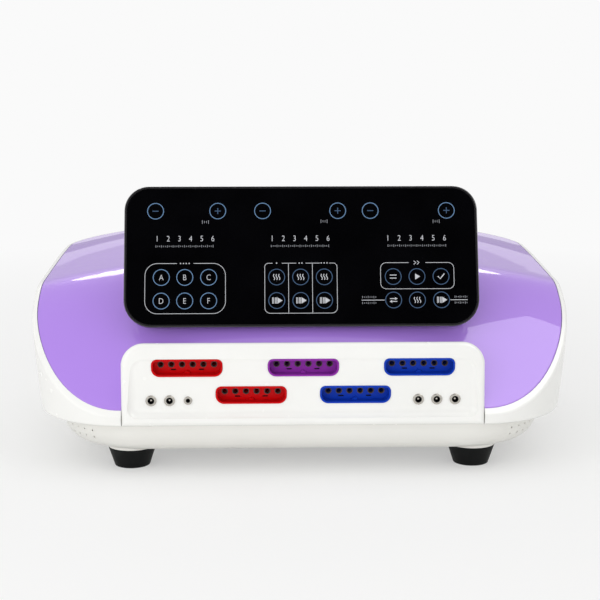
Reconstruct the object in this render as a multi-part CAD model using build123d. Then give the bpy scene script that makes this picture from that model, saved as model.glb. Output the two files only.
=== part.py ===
from build123d import *
from math import atan2, cos, degrees, pi, radians, sin, tan
import os

# Compression therapy pump: a crowned table-top case with a tilted glass control head.
# Millimetres. +Z is up, +X is the user's right, the user looks along +Y.
# The origin is on the table, under the middle of the case.

# ---------------------------------------------------------------- driving dimensions
# Case
split_z = 43.8              # joint between the base tray and the band
case_half_width = 226.0     # band at the split
case_front_y = -156.0       # band at the split
case_back_y = 146.21
front_corner = 78.0
rear_corner = 33.0
rear_taper = 9.0            # each side closes in by this much on the way back
loft_height = 170.0         # over this height the side walls lean out and then stand up
side_spread = 11.5
front_corner_spread = 28.0
rear_corner_spread = 3.0
lip_width = 4.5             # bright rim round the cover, and the band's wall
lip_round = 2.4
band_bottom_round = 2.5
flange_thickness = 3.0
seam_gap = 0.4
joint_gap = 0.2             # between fixed pieces that seat on each other
run_gap = 0.3               # between pieces that move past each other

# Crown of the cover: a side profile swung about a low axis along Y
crown_front = (-153.2, 69.5)
crown_shin = (-127.0, 99.0)
crown_shoulder = (-86.0, 138.5)
crown_neck = (-51.0, 162.5)
crown_ridge = (-25.0, 170.0)
crown_deck = (57.0, 176.8)
crown_tail = (110.0, 180.0)
crown_front_slope = 1.3
crown_deck_slope = 0.083
crown_overrun = 20.0        # past the case, front and back
crown_side_drop = 27.35     # cover at the side walls, below its middle
crown_swing = ((case_half_width + side_spread) ** 2 + crown_side_drop ** 2) / (2 * crown_side_drop)
crown_axis_z = crown_ridge[1] - crown_swing
cover_wall = 3.5
skirt_depth = 9.0
skirt_wall = 2.5
shelf_width = 5.0
shelf_thickness = 3.0

# Base tray and feet
foot_height = 17.0
foot_pad_height = 2.2       # round pads of the tray, above the feet
foot_top_radius = 20.4
foot_bottom_radius = 14.8
foot_side_inset = 81.5
foot_front_inset = 43.7
foot_rear_inset = 33.9
foot_x = case_half_width - foot_side_inset
foot_front_y = case_front_y + foot_front_inset
foot_rear_y = case_back_y - foot_rear_inset
foot_boss_height = 7.0
foot_recess = 8.0           # screw's hole in the foot's underside
tray_side_inset = 18.0
tray_front_inset = 4.0
tray_rear_inset = 5.0
tray_corner = 75.0
tray_rear_corner = 40.0
tray_round = 20.0
tray_wall = 3.0
tray_seat = 3.0             # how far the band's flange reaches in over the tray's wall
case_boss_radius = 5.5
case_boss_inset = 36.0
case_boss_x = case_half_width - case_boss_inset
case_boss_front_y = -45.0
case_boss_rear_y = 95.0
case_screw_seat = 30.0
vent_radius = 0.8
vent_count = 5
vent_rows = 2
vent_drop = 7.3             # below the tray's top
vent_row_pitch = 6.0
vent_start_deg = 26.0
vent_step_deg = 7.3

# Connector panel
panel_half_width = 149.0
panel_top_z = 113.1         # front edge of the roof, before it is rounded
panel_roof_fall = 0.25      # the roof drops by this share on the way back
panel_front_y = -158.0
panel_lean_deg = 4.7
panel_corner = 19.0
panel_edge_round = 4.0
panel_wall = 3.0
panel_back_y = -107.0
panel_floor_depth = 16.0
recess_half_width = 145.0
recess_bottom_z = 50.0
recess_top_z = 104.5        # where the leaning face meets the recess's floor
recess_cove = 8.0
recess_corner = 9.0
recess_top_corner = 14.0

# Hose sockets
socket_width = 58.0
socket_height = 14.4
socket_top_corner = 4.6
socket_bottom_corner = 6.8
socket_wall = 1.3
socket_proud = 0.9
socket_depth = 10.0
socket_back_wall = 8.0
socket_flange = 2.0
socket_pitch_x = 95.0
socket_upper_z = 92.2
socket_lower_z = 69.4
socket_lower_x = 42.7
port_count = 6
port_pitch = 8.75
port_radius = 2.75
port_rise = 1.15            # ports above the socket's middle
port_counterbore = 6.0
seal_bore = 2.0             # soft sleeve in each port
nipple_radius = 2.9
nipple_bore = 1.8
nipple_length = 8.0
key_slot_width = 4.4
key_slot_height = 1.2
key_slot_drop = 3.1         # below the socket's middle
key_slot_depth = 1.5

# Jacks
jack_z = 65.1
jack_pitch = 15.1
jack_middle_x = 109.5
jack_ring_radius = 4.5
jack_ring_proud = 1.2
jack_body_radius = 3.9
jack_bore = 2.75
jack_bore_depth = 10.0
jack_pin_radius = 1.05
jack_pin_setback = 1.2
jack_length = 13.4
audio_collar_radius = 3.5
audio_sleeve_radius = 3.0
audio_bore = 1.8
audio_bore_depth = 14.0
board_thickness = 1.6

# Control head
head_width = 299.0
head_height = 120.8
head_top_corner = 21.0
head_bottom_corner = 23.5
head_tilt_deg = 19.0
head_foot_y = -119.0
head_foot_z = 119.4
bezel_depth = 8.0
bezel_rim = 2.2
bezel_ledge = 3.8
glass_thickness = 1.6
back_plate = 2.0
back_plate_inset = 5.0
hump_half_width = 125.0
hump_low = 42.0
hump_top_inset = 8.8
hump_high = head_height - hump_top_inset
hump_depth = 20.0
hump_round = 8.0
hump_wall = 2.2
control_board_width = 270.0
control_board_height = 100.0
display_width = 34.0
display_height = 14.0
key_group_x = 94.5
key_half_span = 26.0        # minus and plus keys either side of a display
key_top_inset = 21.6
key_top_v = head_height - key_top_inset
mode_pitch_x = 19.8
right_pitch_x = 20.3
middle_pitch_x = 20.0
key_row_high_v = 40.5
key_row_low_v = 20.5
spring_radius = 3.0

# Head pedestal
pedestal_half_width = 85.0
pedestal_wall = 3.0
pedestal_back_y = 12.0
pedestal_low_v = 30.0
pedestal_top_inset = 20.8
pedestal_high_v = head_height - pedestal_top_inset
pedestal_high_n = 36.0
pedestal_screw_x = 74.0
pedestal_screw_front_y = -17.0
pedestal_screw_rear_y = 2.0
pedestal_boss_height = 14.0
pedestal_round = 2.5
pedestal_toe = 5.0

# Screws
screw_head_radius = 2.8
screw_head_height = 2.0
screw_radius = 1.4
screw_length = 6.0
case_screw_radius = 1.7
case_screw_head = 3.4
foot_screw_radius = 2.0
foot_screw_head = 4.0
pilot_gap = 0.1

# Valves and manifold
manifold_half_width = 132.0
manifold_back_y = -60.0
manifold_front_y = -92.0
manifold_top_z = 101.0
manifold_bottom_z = 62.0
manifold_leg = 14.0
hose_wall = 1.1
hose_gap = 0.1
valve_count = 6
valve_pitch = 40.0
valve_y = -71.0
valve_radius = 11.0
valve_height = 26.0
plunger_radius = 4.2
plunger_length = 16.0
plunger_stroke = 2.0

# Air pump
pump_y = 50.0
pump_length = 100.0
pump_depth = 70.0
pump_plate = 3.0
pump_wall_height = 54.0
pump_axis_height = 32.0     # armature above the housing's floor
pump_hole = 6.0
pump_head_length = 20.0
pump_head_depth = 56.0
pump_head_height = 46.0
pump_chamber_radius = 17.0
pump_chamber_space = 2.5    # beyond the piston at the end of its stroke
pump_mount_radius = 7.0
pump_mount_height = 8.0
armature_length = 80.0
armature_width = 8.0
armature_height = 20.0
armature_rod = 4.0
piston_radius = 12.0
piston_thickness = 2.0
piston_setback = 6.0        # behind the housing's end wall
armature_stroke = 1.5
coil_length = 40.0
coil_depth = 14.0
coil_height = 46.0
coil_gap = 4.0
pump_hose_radius = 4.2
pump_hose_bore = 3.0
pump_hose_bend = 22.0

# Boards
board_z = 32.0
main_board_y = 40.0
main_board_width = 112.0
main_board_depth = 120.0
power_board_y = 40.0
power_board_width = 80.0
power_board_depth = 110.0
standoff_radius = 4.0
standoff_inset = 6.0
floor_shares = (15, 8, 14, 23)   # spare floor width: wall, pump, main board, power board, wall

# Rear plate with fan, mains inlet and rocker switch
rear_half_width = 100.0
rear_middle_z = 93.0
rear_height = 70.0
rear_plate_thickness = 2.0
rear_plate_step = 0.89      # plate's outer face behind the band's lower edge
rear_lip = 8.0
rear_lip_thickness = 3.0
rear_frame_wall = 4.0
fan_x = -60.0
fan_size = 50.0
fan_depth = 15.0
fan_bore = 23.5
fan_hub = 11.5
fan_blades = 7
fan_blade_twist = 35.0
fan_shaft = 1.5
fan_strut = 2.0
shaft_clearance = 0.05
grille_slot = 3.4
grille_pitch = 6.0
grille_rows = 7
inlet_x = 55.0
inlet_half_width = 14.0
inlet_height = 34.0
inlet_depth = 23.0
inlet_flange = 3.0
flange_plate = 2.2
cavity_rise = 6.0
cavity_half_width = 12.2
cavity_half_height = 8.2
cavity_depth = 17.0
blade_spacing = 7.0
blade_width = 2.0
blade_height = 4.0
blade_drop = 2.0
drawer_drop = 10.0
drawer_half_width = 10.7
drawer_half_height = 3.7
drawer_length = 19.5
drawer_face = 2.0
drawer_face_margin = 1.3
rocker_x = 15.0
rocker_half_width = 5.3
rocker_half_height = 8.0
rocker_pocket_depth = 12.0
rocker_tilt_deg = 9.0
rocker_pin = 1.2
rocker_frame_wall = 2.3
rocker_body_depth = 20.0

# Cable from the head to the main board
cable_radius = 2.5
cable_exit_v = 70.0
cable_hole_radius = 7.0
cable_hole_y = -48.0
cable_plug_inset = 10.0     # plug on the main board, in from its front edge
cable_plug_height = 8.0
cable_side = 8.0            # cable beside the main board's middle

# ---------------------------------------------------------------- small makers


def block(x0, x1, y0, y1, z0, z1):
    """Box between two corners."""
    middle = Pos((x0 + x1) / 2, (y0 + y1) / 2, (z0 + z1) / 2)
    return middle * Box(x1 - x0, y1 - y0, z1 - z0)


def rod_z(radius, x, y, z0, z1):
    return Pos(x, y, (z0 + z1) / 2) * Cylinder(radius, z1 - z0)


def rod_y(radius, x, z, y0, y1):
    return Pos(x, (y0 + y1) / 2, z) * Rot(90, 0, 0) * Cylinder(radius, y1 - y0)


def rod_x(radius, y, z, x0, x1):
    return Pos((x0 + x1) / 2, y, z) * Rot(0, 90, 0) * Cylinder(radius, x1 - x0)


def group(pieces):
    """Separate identical or related solids kept in one node."""
    solids = []
    for piece in pieces:
        solids.extend(piece.solids())
    return Compound(solids)


def save(name, piece):
    export_step(piece, os.path.join("parts", name + ".step"))


def narrowing(y):
    """How far the case's side has closed in at a depth."""
    return rear_taper * (y - case_front_y) / (case_back_y - case_front_y)


def rounded_plan(half_width, y0, y1, front_radius, rear_radius, z):
    """Plan outline that narrows to the rear, with two front and two rear corner radii."""
    rear = half_width - rear_taper
    corners = [(-half_width, y0), (half_width, y0), (rear, y1), (-rear, y1)]
    face = make_face(Polyline(*corners, close=True))
    points = face.vertices().sort_by(Axis.Y)
    face = fillet(points[:2], front_radius)
    face = fillet(face.vertices().sort_by(Axis.Y)[-2:], rear_radius)
    return Pos(0, 0, z) * face


def keyed_outline(width, height, top_radius, bottom_radius):
    """Rounded rectangle whose two lower corners have a radius of their own."""
    face = Rectangle(width, height)
    face = fillet(face.vertices().sort_by(Axis.Y)[-2:], top_radius)
    return fillet(face.vertices().sort_by(Axis.Y)[:2], bottom_radius)


def screw(x, y, z, turn):
    """Pan-head screw; its head seats at the given point and its shank runs along local -Z."""
    head = Pos(0, 0, screw_head_height / 2) * Cylinder(screw_head_radius, screw_head_height)
    head = fillet(head.edges().group_by(Axis.Z)[-1], screw_head_height / 2.5)
    shank = Pos(0, 0, -screw_length / 2) * Cylinder(screw_radius, screw_length)
    recess = Pos(0, 0, screw_head_height - 0.5) * Box(0.7, screw_head_radius, 1.2)
    return Pos(x, y, z) * turn * (head + shank - recess)


screw_down = Rot(0, 0, 0)
screw_up = Rot(180, 0, 0)
screw_inward = Rot(-90, 0, 0)

# ---------------------------------------------------------------- case envelope


def envelope(inset, rise=0.0):
    """Space inside the case's side walls; the corners open out as the walls lean out."""
    sections = []
    for share in (0.0, 0.25, 0.5, 1.0):
        ease = 1 - (1 - share) ** 3
        out = side_spread * ease - inset
        section = rounded_plan(case_half_width + out, case_front_y - out, case_back_y + out,
                               front_corner + front_corner_spread * ease - inset,
                               rear_corner + rear_corner_spread * ease - inset,
                               split_z + rise + share * (loft_height - rise))
        sections.append(section)
    return loft(sections)


def crown(drop):
    """Solid under the crowned surface, lowered by a drop."""
    y0 = panel_front_y - crown_overrun
    y1 = -panel_front_y + crown_overrun
    lead = crown_front_slope * (crown_front[0] - y0)
    points = [(y0, crown_front[1] - lead), crown_front, crown_shin, crown_shoulder, crown_neck,
              crown_ridge]
    points = [(y, z - drop) for y, z in points]
    slope = (1, crown_deck_slope)
    front = Spline(*points, tangents=[(1, crown_front_slope), slope])
    tail = [crown_deck, crown_tail, (y1, crown_tail[1] + 1)]
    deck = Spline(points[-1], *[(y, z - drop) for y, z in tail], tangents=[slope, (1, 0)])
    rest = Polyline(deck @ 1, (y1, 0), (y0, 0), front @ 0)
    face = Plane.YZ * make_face(front + deck + rest)
    axis = Axis((0, 0, crown_axis_z), (0, 1, 0))
    half_swing = degrees(atan2(case_half_width + 2 * side_spread, -crown_axis_z)) + 1
    return revolve(face, axis, revolution_arc=2 * half_swing).rotate(axis, -half_swing)


cover_inset = lip_width + seam_gap
top_surface = crown(0)
case_outer = envelope(0) & top_surface
rim_edges = [e for e in case_outer.edges() if e.center().Z > split_z + band_bottom_round]
case_outer = case_outer.fillet(lip_round, [e for e in rim_edges if e.length > lip_round])
case_outer = fillet(case_outer.edges().group_by(Axis.Z)[0], band_bottom_round)

# ---------------------------------------------------------------- connector panel

panel_lean = radians(panel_lean_deg)
panel_face = Plane((0, panel_front_y, split_z), x_dir=(1, 0, 0),
                   z_dir=(0, -cos(panel_lean), sin(panel_lean)))
panel_edge_y = panel_front_y + (panel_top_z - split_z) * tan(panel_lean)
recess_y = panel_front_y + (recess_top_z - split_z) * tan(panel_lean)
panel_inner_y = recess_y + panel_wall


def panel_prism(inset, y0, y1):
    """Panel between two depths: square below, two rounded corners on top, and a falling roof."""
    width = 2 * (panel_half_width - inset)
    top = panel_top_z - inset - panel_roof_fall * (y1 - panel_edge_y)
    face = Pos(0, top / 2) * Rectangle(width, top)
    face = fillet(face.vertices().sort_by(Axis.Y)[-2:], panel_corner - inset)
    forward = Vector(0, -1, panel_roof_fall)
    prism = extrude(Plane.XZ.offset(-y1) * face, (y1 - y0) * forward.length, dir=forward)
    return prism & block(-300, 300, y0, y1, split_z + joint_gap + inset, 300)


def socket_hole_positions():
    return [(-socket_pitch_x, socket_upper_z), (0, socket_upper_z), (socket_pitch_x, socket_upper_z),
            (-socket_lower_x, socket_lower_z), (socket_lower_x, socket_lower_z)]


def socket_prism(x, z, grow, y0, y1):
    outline = keyed_outline(socket_width + 2 * grow, socket_height + 2 * grow,
                            socket_top_corner + grow, socket_bottom_corner + grow)
    return extrude(Plane.XZ.offset(-y1) * (Pos(x, z) * outline), y1 - y0)


barrel_jack_xs = [-jack_middle_x - jack_pitch, -jack_middle_x,
                  jack_middle_x - jack_pitch, jack_middle_x, jack_middle_x + jack_pitch]
audio_jack_x = -jack_middle_x + jack_pitch
panel_screw_xs = [-120.0, -40.0, 40.0, 120.0]
panel_screw_y = panel_front_y + panel_floor_depth - 4

panel = panel_prism(0, panel_front_y - 20, panel_back_y)
panel -= panel_face.location * Pos(0, 0, 30) * Box(500, 500, 60)
panel = fillet(panel.faces().sort_by(Axis.Y)[0].edges(), panel_edge_round)
recess = block(-recess_half_width, recess_half_width, recess_y - 30, recess_y,
               recess_bottom_z, recess_top_z + 0.5)
recess = fillet(recess.edges().filter_by(Axis.Y).group_by(Axis.Z)[0], recess_corner)
recess = fillet(recess.edges().filter_by(Axis.Y).group_by(Axis.Z)[-1], recess_top_corner)
floor_edges = recess.faces().sort_by(Axis.Y)[-1].edges()
recess = fillet([e for e in floor_edges if e.center().Z < recess_top_z - 1], recess_cove)
panel -= recess
panel -= panel_prism(panel_wall, panel_inner_y, panel_back_y + 1)
panel -= block(-recess_half_width, recess_half_width, panel_front_y + panel_floor_depth, 0,
               split_z - 1, split_z + 2 * panel_wall)
for x, z in socket_hole_positions():
    panel -= socket_prism(x, z, joint_gap, panel_front_y - 5, panel_back_y)
for x in barrel_jack_xs:
    panel -= rod_y(jack_body_radius + pilot_gap, x, jack_z, panel_front_y - 5, panel_inner_y + 1)
panel -= rod_y(audio_sleeve_radius + pilot_gap, audio_jack_x, jack_z, panel_front_y - 5, panel_inner_y + 1)
for x in panel_screw_xs:
    panel -= rod_z(screw_radius + pilot_gap, x, panel_screw_y, split_z, split_z + panel_wall)

panel_clearance = panel_prism(-joint_gap, panel_back_y - 90, panel_back_y)
panel_clearance += block(-panel_half_width - joint_gap, panel_half_width + joint_gap,
                         panel_front_y - 30, panel_back_y, split_z - 5, split_z + 5)

# ---------------------------------------------------------------- base tray

tray_half_width = case_half_width - tray_side_inset
tray_front_y = case_front_y + tray_front_inset
tray_back_y = case_back_y - tray_rear_inset
tray_top_z = split_z - joint_gap
tray_bottom_z = foot_height + foot_pad_height
floor_z = tray_bottom_z + tray_wall


def tray_block(inset, z0, z1):
    plan = rounded_plan(tray_half_width - inset, tray_front_y + inset, tray_back_y - inset,
                        tray_corner - inset, tray_rear_corner - inset, z0)
    return extrude(plan, z1 - z0)


tray = fillet(tray_block(0, tray_bottom_z, tray_top_z).edges().group_by(Axis.Z)[0], tray_round)
tray_hollow = tray_block(tray_wall, floor_z, split_z + 1)
tray -= fillet(tray_hollow.edges().group_by(Axis.Z)[0], tray_round - tray_wall)

foot_points = [(sx * foot_x, y) for y in (foot_front_y, foot_rear_y) for sx in (-1, 1)]
case_boss_points = [(sx * (case_boss_x - narrowing(y)), y)
                    for y in (case_boss_front_y, case_boss_rear_y) for sx in (-1, 1)]
for x, y in foot_points:
    tray += rod_z(foot_top_radius, x, y, foot_height, tray_bottom_z + 1)
    tray += rod_z(3 * foot_screw_radius, x, y, floor_z - 0.5, floor_z + foot_boss_height)
    tray -= rod_z(foot_screw_radius + pilot_gap, x, y, foot_height - 1, floor_z + foot_boss_height + 1)
for x, y in case_boss_points:
    tray += rod_z(case_boss_radius, x, y, floor_z - 0.5, tray_top_z)
    tray -= rod_z(case_screw_radius + pilot_gap, x, y, foot_height - 1, split_z + 1)
    tray -= rod_z(case_screw_head + joint_gap, x, y, foot_height - 1, case_screw_seat)
for x in panel_screw_xs:
    tray += block(x - 7, x + 7, tray_front_y + 1, panel_screw_y + 5, tray_top_z - 3, tray_top_z)
    tray -= rod_z(screw_radius + pilot_gap, x, panel_screw_y, tray_top_z - 4, split_z + 1)

# The pump and the two boards share the floor's width at the power board's rear edge.
floor_half = tray_half_width - tray_wall - narrowing(power_board_y + power_board_depth / 2)
pump_span = pump_length + 2 * pump_head_length
spare = 2 * floor_half - pump_span - main_board_width - power_board_width
gaps = [spare * share / sum(floor_shares) for share in floor_shares]
pump_x = -floor_half + gaps[0] + pump_span / 2
main_board_x = pump_x + pump_span / 2 + gaps[1] + main_board_width / 2
power_board_x = main_board_x + main_board_width / 2 + gaps[2] + power_board_width / 2
cable_x = main_board_x - cable_side
cable_end_y = main_board_y - main_board_depth / 2 + cable_plug_inset

boards = [(main_board_x, main_board_y, main_board_width, main_board_depth),
          (power_board_x, power_board_y, power_board_width, power_board_depth)]
standoff_points = []
for x, y, width, depth in boards:
    for sx in (-1, 1):
        for sy in (-1, 1):
            reach_x = width / 2 - standoff_inset
            reach_y = depth / 2 - standoff_inset
            standoff_points.append((x + sx * reach_x, y + sy * reach_y))
for x, y in standoff_points:
    tray += rod_z(standoff_radius, x, y, floor_z - 0.5, board_z)
    tray -= rod_z(screw_radius + pilot_gap, x, y, floor_z, board_z + 1)

for side in (-1, 1):
    corner_x = tray_half_width - tray_corner
    corner_y = tray_front_y + tray_corner
    for row in range(vent_rows):
        for step in range(vent_count):
            angle = radians(vent_start_deg + vent_step_deg * step)
            drill = Pos(corner_x * side, corner_y, tray_top_z - vent_drop - vent_row_pitch * row)
            drill *= Rot(0, 0, degrees(-pi / 2 + side * (pi / 2 - angle)))
            tray -= drill * Pos(tray_corner, 0, 0) * Rot(0, 90, 0) * Cylinder(vent_radius, 40)

# ---------------------------------------------------------------- band and cover

rear_plate_face_y = case_back_y + rear_plate_step
rear_bottom_z = rear_middle_z - rear_height / 2
rear_top_z = rear_middle_z + rear_height / 2
rear_plate_inner_y = rear_plate_face_y - rear_plate_thickness
rear_lip_y = rear_plate_inner_y - joint_gap


def rear_window(grow, y0, y1):
    return block(-rear_half_width - grow, rear_half_width + grow, y0, y1,
                 rear_bottom_z - grow, rear_top_z + grow)


inside = envelope(lip_width)
flange_top_z = split_z + flange_thickness
band = case_outer - (inside & block(-300, 300, -300, 300, flange_top_z, 300))
band -= tray_block(tray_wall + tray_seat, split_z - 1, flange_top_z + 1)
shelf = (inside - envelope(lip_width + shelf_width)) & crown(skirt_depth + joint_gap)
shelf -= crown(skirt_depth + joint_gap + shelf_thickness)
shelf &= block(-300, 300, -300, 300, split_z + 1, 300)
band += shelf
band += rear_window(rear_frame_wall, rear_lip_y - rear_lip_thickness, 200) & envelope(lip_width / 2)
band -= rear_window(seam_gap, rear_lip_y, 220)
band -= rear_window(-rear_lip, rear_lip_y - 20, 220)
for x, y in case_boss_points:
    side = 1 if x > 0 else -1
    tab = rod_z(case_boss_radius + 1, x, y, split_z, flange_top_z + 3)
    wall_x = side * (case_half_width - narrowing(y) - lip_width)
    tab += block(min(x, wall_x), max(x, wall_x), y - case_boss_radius, y + case_boss_radius,
                 split_z, flange_top_z)
    band += tab
    band -= rod_z(case_screw_radius + pilot_gap, x, y, split_z - 1, flange_top_z + 4)
rear_screw_points = [(sx * (rear_half_width - rear_lip / 2),
                      rear_middle_z + sz * (rear_height - rear_lip) / 2)
                     for sx in (-1, 1) for sz in (-1, 1)]
for x, z in rear_screw_points:
    band -= rod_y(screw_radius + pilot_gap, x, z, rear_lip_y - 10, rear_plate_face_y)
band -= panel_clearance

cover = envelope(cover_inset) & top_surface
cover_edges = [e for e in cover.edges() if e.center().Z > split_z + 5]
cover = cover.fillet(1.0, [e for e in cover_edges if e.length > 5])
cover -= envelope(cover_inset + skirt_wall) & crown(cover_wall)
cover -= crown(skirt_depth)
cover -= panel_clearance
cover -= rod_z(cable_hole_radius, cable_x, cable_hole_y, 100, 200)
pedestal_screw_points = [(sx * pedestal_screw_x, y) for sx in (-1, 1)
                         for y in (pedestal_screw_front_y, pedestal_screw_rear_y)]
for x, y in pedestal_screw_points:
    cover -= rod_z(screw_radius + pilot_gap, x, y, 100, 200)

# ---------------------------------------------------------------- feet and case screws

feet = []
foot_screws = []
for x, y in foot_points:
    cone = Cone(foot_bottom_radius, foot_top_radius, foot_height)
    foot = Pos(x, y, foot_height / 2) * cone
    foot = fillet(foot.edges().group_by(Axis.Z)[0], 1.0)
    foot -= rod_z(foot_screw_head + 1, x, y, -1, foot_recess)
    foot -= rod_z(foot_screw_radius + pilot_gap, x, y, 0, foot_height + 1)
    feet.append(foot)
    fastener = rod_z(foot_screw_head, x, y, foot_recess - 3, foot_recess)
    fastener += rod_z(foot_screw_radius, x, y, foot_recess - 0.5, floor_z + foot_boss_height - 1)
    foot_screws.append(fastener)

case_screws = []
for x, y in case_boss_points:
    fastener = rod_z(case_screw_head, x, y, case_screw_seat - 3, case_screw_seat)
    fastener += rod_z(case_screw_radius, x, y, case_screw_seat - 0.5, flange_top_z + 2)
    case_screws.append(fastener)

# ---------------------------------------------------------------- hose sockets

port_offsets = [(k - (port_count - 1) / 2) * port_pitch for k in range(port_count)]
socket_back_y = recess_y - socket_proud + socket_depth
socket_end_y = socket_back_y + socket_back_wall


def hose_socket(x, z):
    """Oval cup through the panel wall, with six ports in its back and six nipples behind."""
    cup = socket_prism(x, z, 0, recess_y - socket_proud, socket_end_y)
    cup = fillet(cup.faces().sort_by(Axis.Y)[0].edges(), 0.5)
    cup += socket_prism(x, z, socket_flange, panel_inner_y + joint_gap, panel_inner_y + joint_gap + 2)
    cup -= socket_prism(x, z, -socket_wall, recess_y - 5, socket_back_y)
    for shift in port_offsets:
        port_z = z + port_rise
        cup += rod_y(nipple_radius, x + shift, port_z, socket_end_y - 0.5, socket_end_y + nipple_length)
        cup -= rod_y(nipple_bore, x + shift, port_z, socket_back_y - 1, socket_end_y + nipple_length + 1)
        cup -= rod_y(port_radius, x + shift, port_z, socket_back_y - 1, socket_back_y + port_counterbore)
    for side in (-1, 1):
        slot_x = x + side * 1.5 * port_pitch * 0.87
        slot_z = z - key_slot_drop
        cup -= block(slot_x - key_slot_width / 2, slot_x + key_slot_width / 2,
                     socket_back_y - 1, socket_back_y + key_slot_depth,
                     slot_z - key_slot_height / 2, slot_z + key_slot_height / 2)
    arch = rod_y(2.0, x, z - socket_height / 2 + socket_wall, socket_back_y - 3, socket_back_y + 0.5)
    return cup + arch


def port_seal(x, z):
    """Soft sleeve pressed into a port's counterbore, flush with the socket's back."""
    depth = port_counterbore - pilot_gap
    sleeve = rod_y(port_radius - pilot_gap, x, z, socket_back_y, socket_back_y + depth)
    return sleeve - rod_y(seal_bore, x, z, socket_back_y - 1, socket_back_y + depth + 1)


socket_names = ["hose_socket_upper_left", "hose_socket_upper_middle", "hose_socket_upper_right",
                "hose_socket_lower_left", "hose_socket_lower_right"]
sockets = [hose_socket(x, z) for x, z in socket_hole_positions()]

# ---------------------------------------------------------------- jacks

jack_bodies = []
jack_metal = []
jack_end_y = recess_y + jack_length
for x in barrel_jack_xs:
    body = rod_y(jack_body_radius, x, jack_z, recess_y, jack_end_y)
    body -= rod_y(jack_bore, x, jack_z, recess_y - 1, recess_y + jack_bore_depth)
    body += block(x - 5, x + 5, panel_inner_y + joint_gap, jack_end_y, jack_z - 5, jack_z + 5)
    body -= rod_y(jack_bore, x, jack_z, recess_y - 1, recess_y + jack_bore_depth)
    body -= rod_y(jack_pin_radius, x, jack_z, recess_y, jack_end_y + 1)
    jack_bodies.append(body)
    ring = rod_y(jack_ring_radius, x, jack_z, recess_y - jack_ring_proud, recess_y)
    ring = fillet(ring.edges().group_by(Axis.Y)[0], 0.5)
    jack_metal.append(ring - rod_y(jack_bore, x, jack_z, recess_y - 5, recess_y + 1))
    pin = rod_y(jack_pin_radius, x, jack_z, recess_y + jack_pin_setback, jack_end_y)
    jack_metal.append(fillet(pin.edges().group_by(Axis.Y)[0], 0.5))

audio_end_y = recess_y + audio_bore_depth + 1.5
audio_jack = rod_y(audio_sleeve_radius, audio_jack_x, jack_z, recess_y, audio_end_y)
collar = rod_y(audio_collar_radius, audio_jack_x, jack_z, recess_y - 1, recess_y)
audio_jack += fillet(collar.edges().group_by(Axis.Y)[0], 0.4)
audio_jack -= rod_y(audio_bore, audio_jack_x, jack_z, recess_y - 2, recess_y + audio_bore_depth)

jack_board_y = audio_end_y + joint_gap
jack_boards = [block(side * jack_middle_x - 23, side * jack_middle_x + 23, jack_board_y,
                     jack_board_y + board_thickness, jack_z - 10, jack_z + 12) for side in (-1, 1)]
for x in barrel_jack_xs:
    side = 0 if x < 0 else 1
    jack_boards[side] += block(x - 3, x + 3, jack_end_y + joint_gap, jack_board_y + 0.5,
                               jack_z - 3, jack_z + 3)

# ---------------------------------------------------------------- manifold, hoses and valves

port_points = [(x + shift, z + port_rise) for x, z in socket_hole_positions()
               for shift in port_offsets]
port_seals = [port_seal(x, z) for x, z in port_points]
manifold = block(-manifold_half_width, manifold_half_width, manifold_front_y, manifold_back_y,
                 manifold_bottom_z, manifold_top_z)
manifold = fillet(manifold.edges().filter_by(Axis.X), 2.0)
for side in (-1, 1):
    outer = side * manifold_half_width
    inner = outer - side * manifold_leg
    manifold += block(min(outer, inner), max(outer, inner), manifold_front_y + 6, manifold_back_y - 6,
                      floor_z + joint_gap, manifold_bottom_z + 1)
for x, z in port_points:
    manifold += rod_y(nipple_radius, x, z, manifold_front_y - nipple_length, manifold_front_y + 1)
    manifold -= rod_y(nipple_bore, x, z, manifold_front_y - nipple_length - 1, manifold_front_y + 8)
pump_port_x = pump_x + pump_length / 2 + pump_head_length / 2
pump_port_z = manifold_bottom_z + 22
manifold += rod_y(nipple_radius, pump_port_x, pump_port_z,
                  manifold_back_y - 1, manifold_back_y + nipple_length)
manifold -= rod_y(nipple_bore, pump_port_x, pump_port_z,
                  manifold_back_y - 8, manifold_back_y + nipple_length + 1)

hose_outer = nipple_radius + hose_gap + hose_wall
socket_hoses = []
for x, z in port_points:
    hose = rod_y(hose_outer, x, z, socket_end_y + joint_gap, manifold_front_y - joint_gap)
    socket_hoses.append(hose - rod_y(nipple_radius + hose_gap, x, z, socket_end_y, manifold_front_y))

valve_xs = [(k - (valve_count - 1) / 2) * valve_pitch for k in range(valve_count)]
valve_base_z = manifold_top_z + joint_gap
plunger_base_z = manifold_top_z + run_gap
valve_bore_top = plunger_base_z + plunger_length + plunger_stroke + 2
valve_coils = []
plungers = []
for x in valve_xs:
    coil = rod_z(valve_radius, x, valve_y, valve_base_z, valve_base_z + valve_height)
    coil = fillet(coil.edges().group_by(Axis.Z)[-1], 2.0)
    valve_coils.append(coil - rod_z(plunger_radius + run_gap, x, valve_y, valve_base_z - 1, valve_bore_top))
    plungers.append(rod_z(plunger_radius, x, valve_y, plunger_base_z, plunger_base_z + plunger_length))

sensor = block(-6, 6, valve_y - 6, valve_y + 6, valve_base_z, valve_base_z + 8)
sensor += rod_z(2, 0, valve_y, valve_base_z + 7, valve_base_z + 14)

# ---------------------------------------------------------------- air pump

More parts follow.
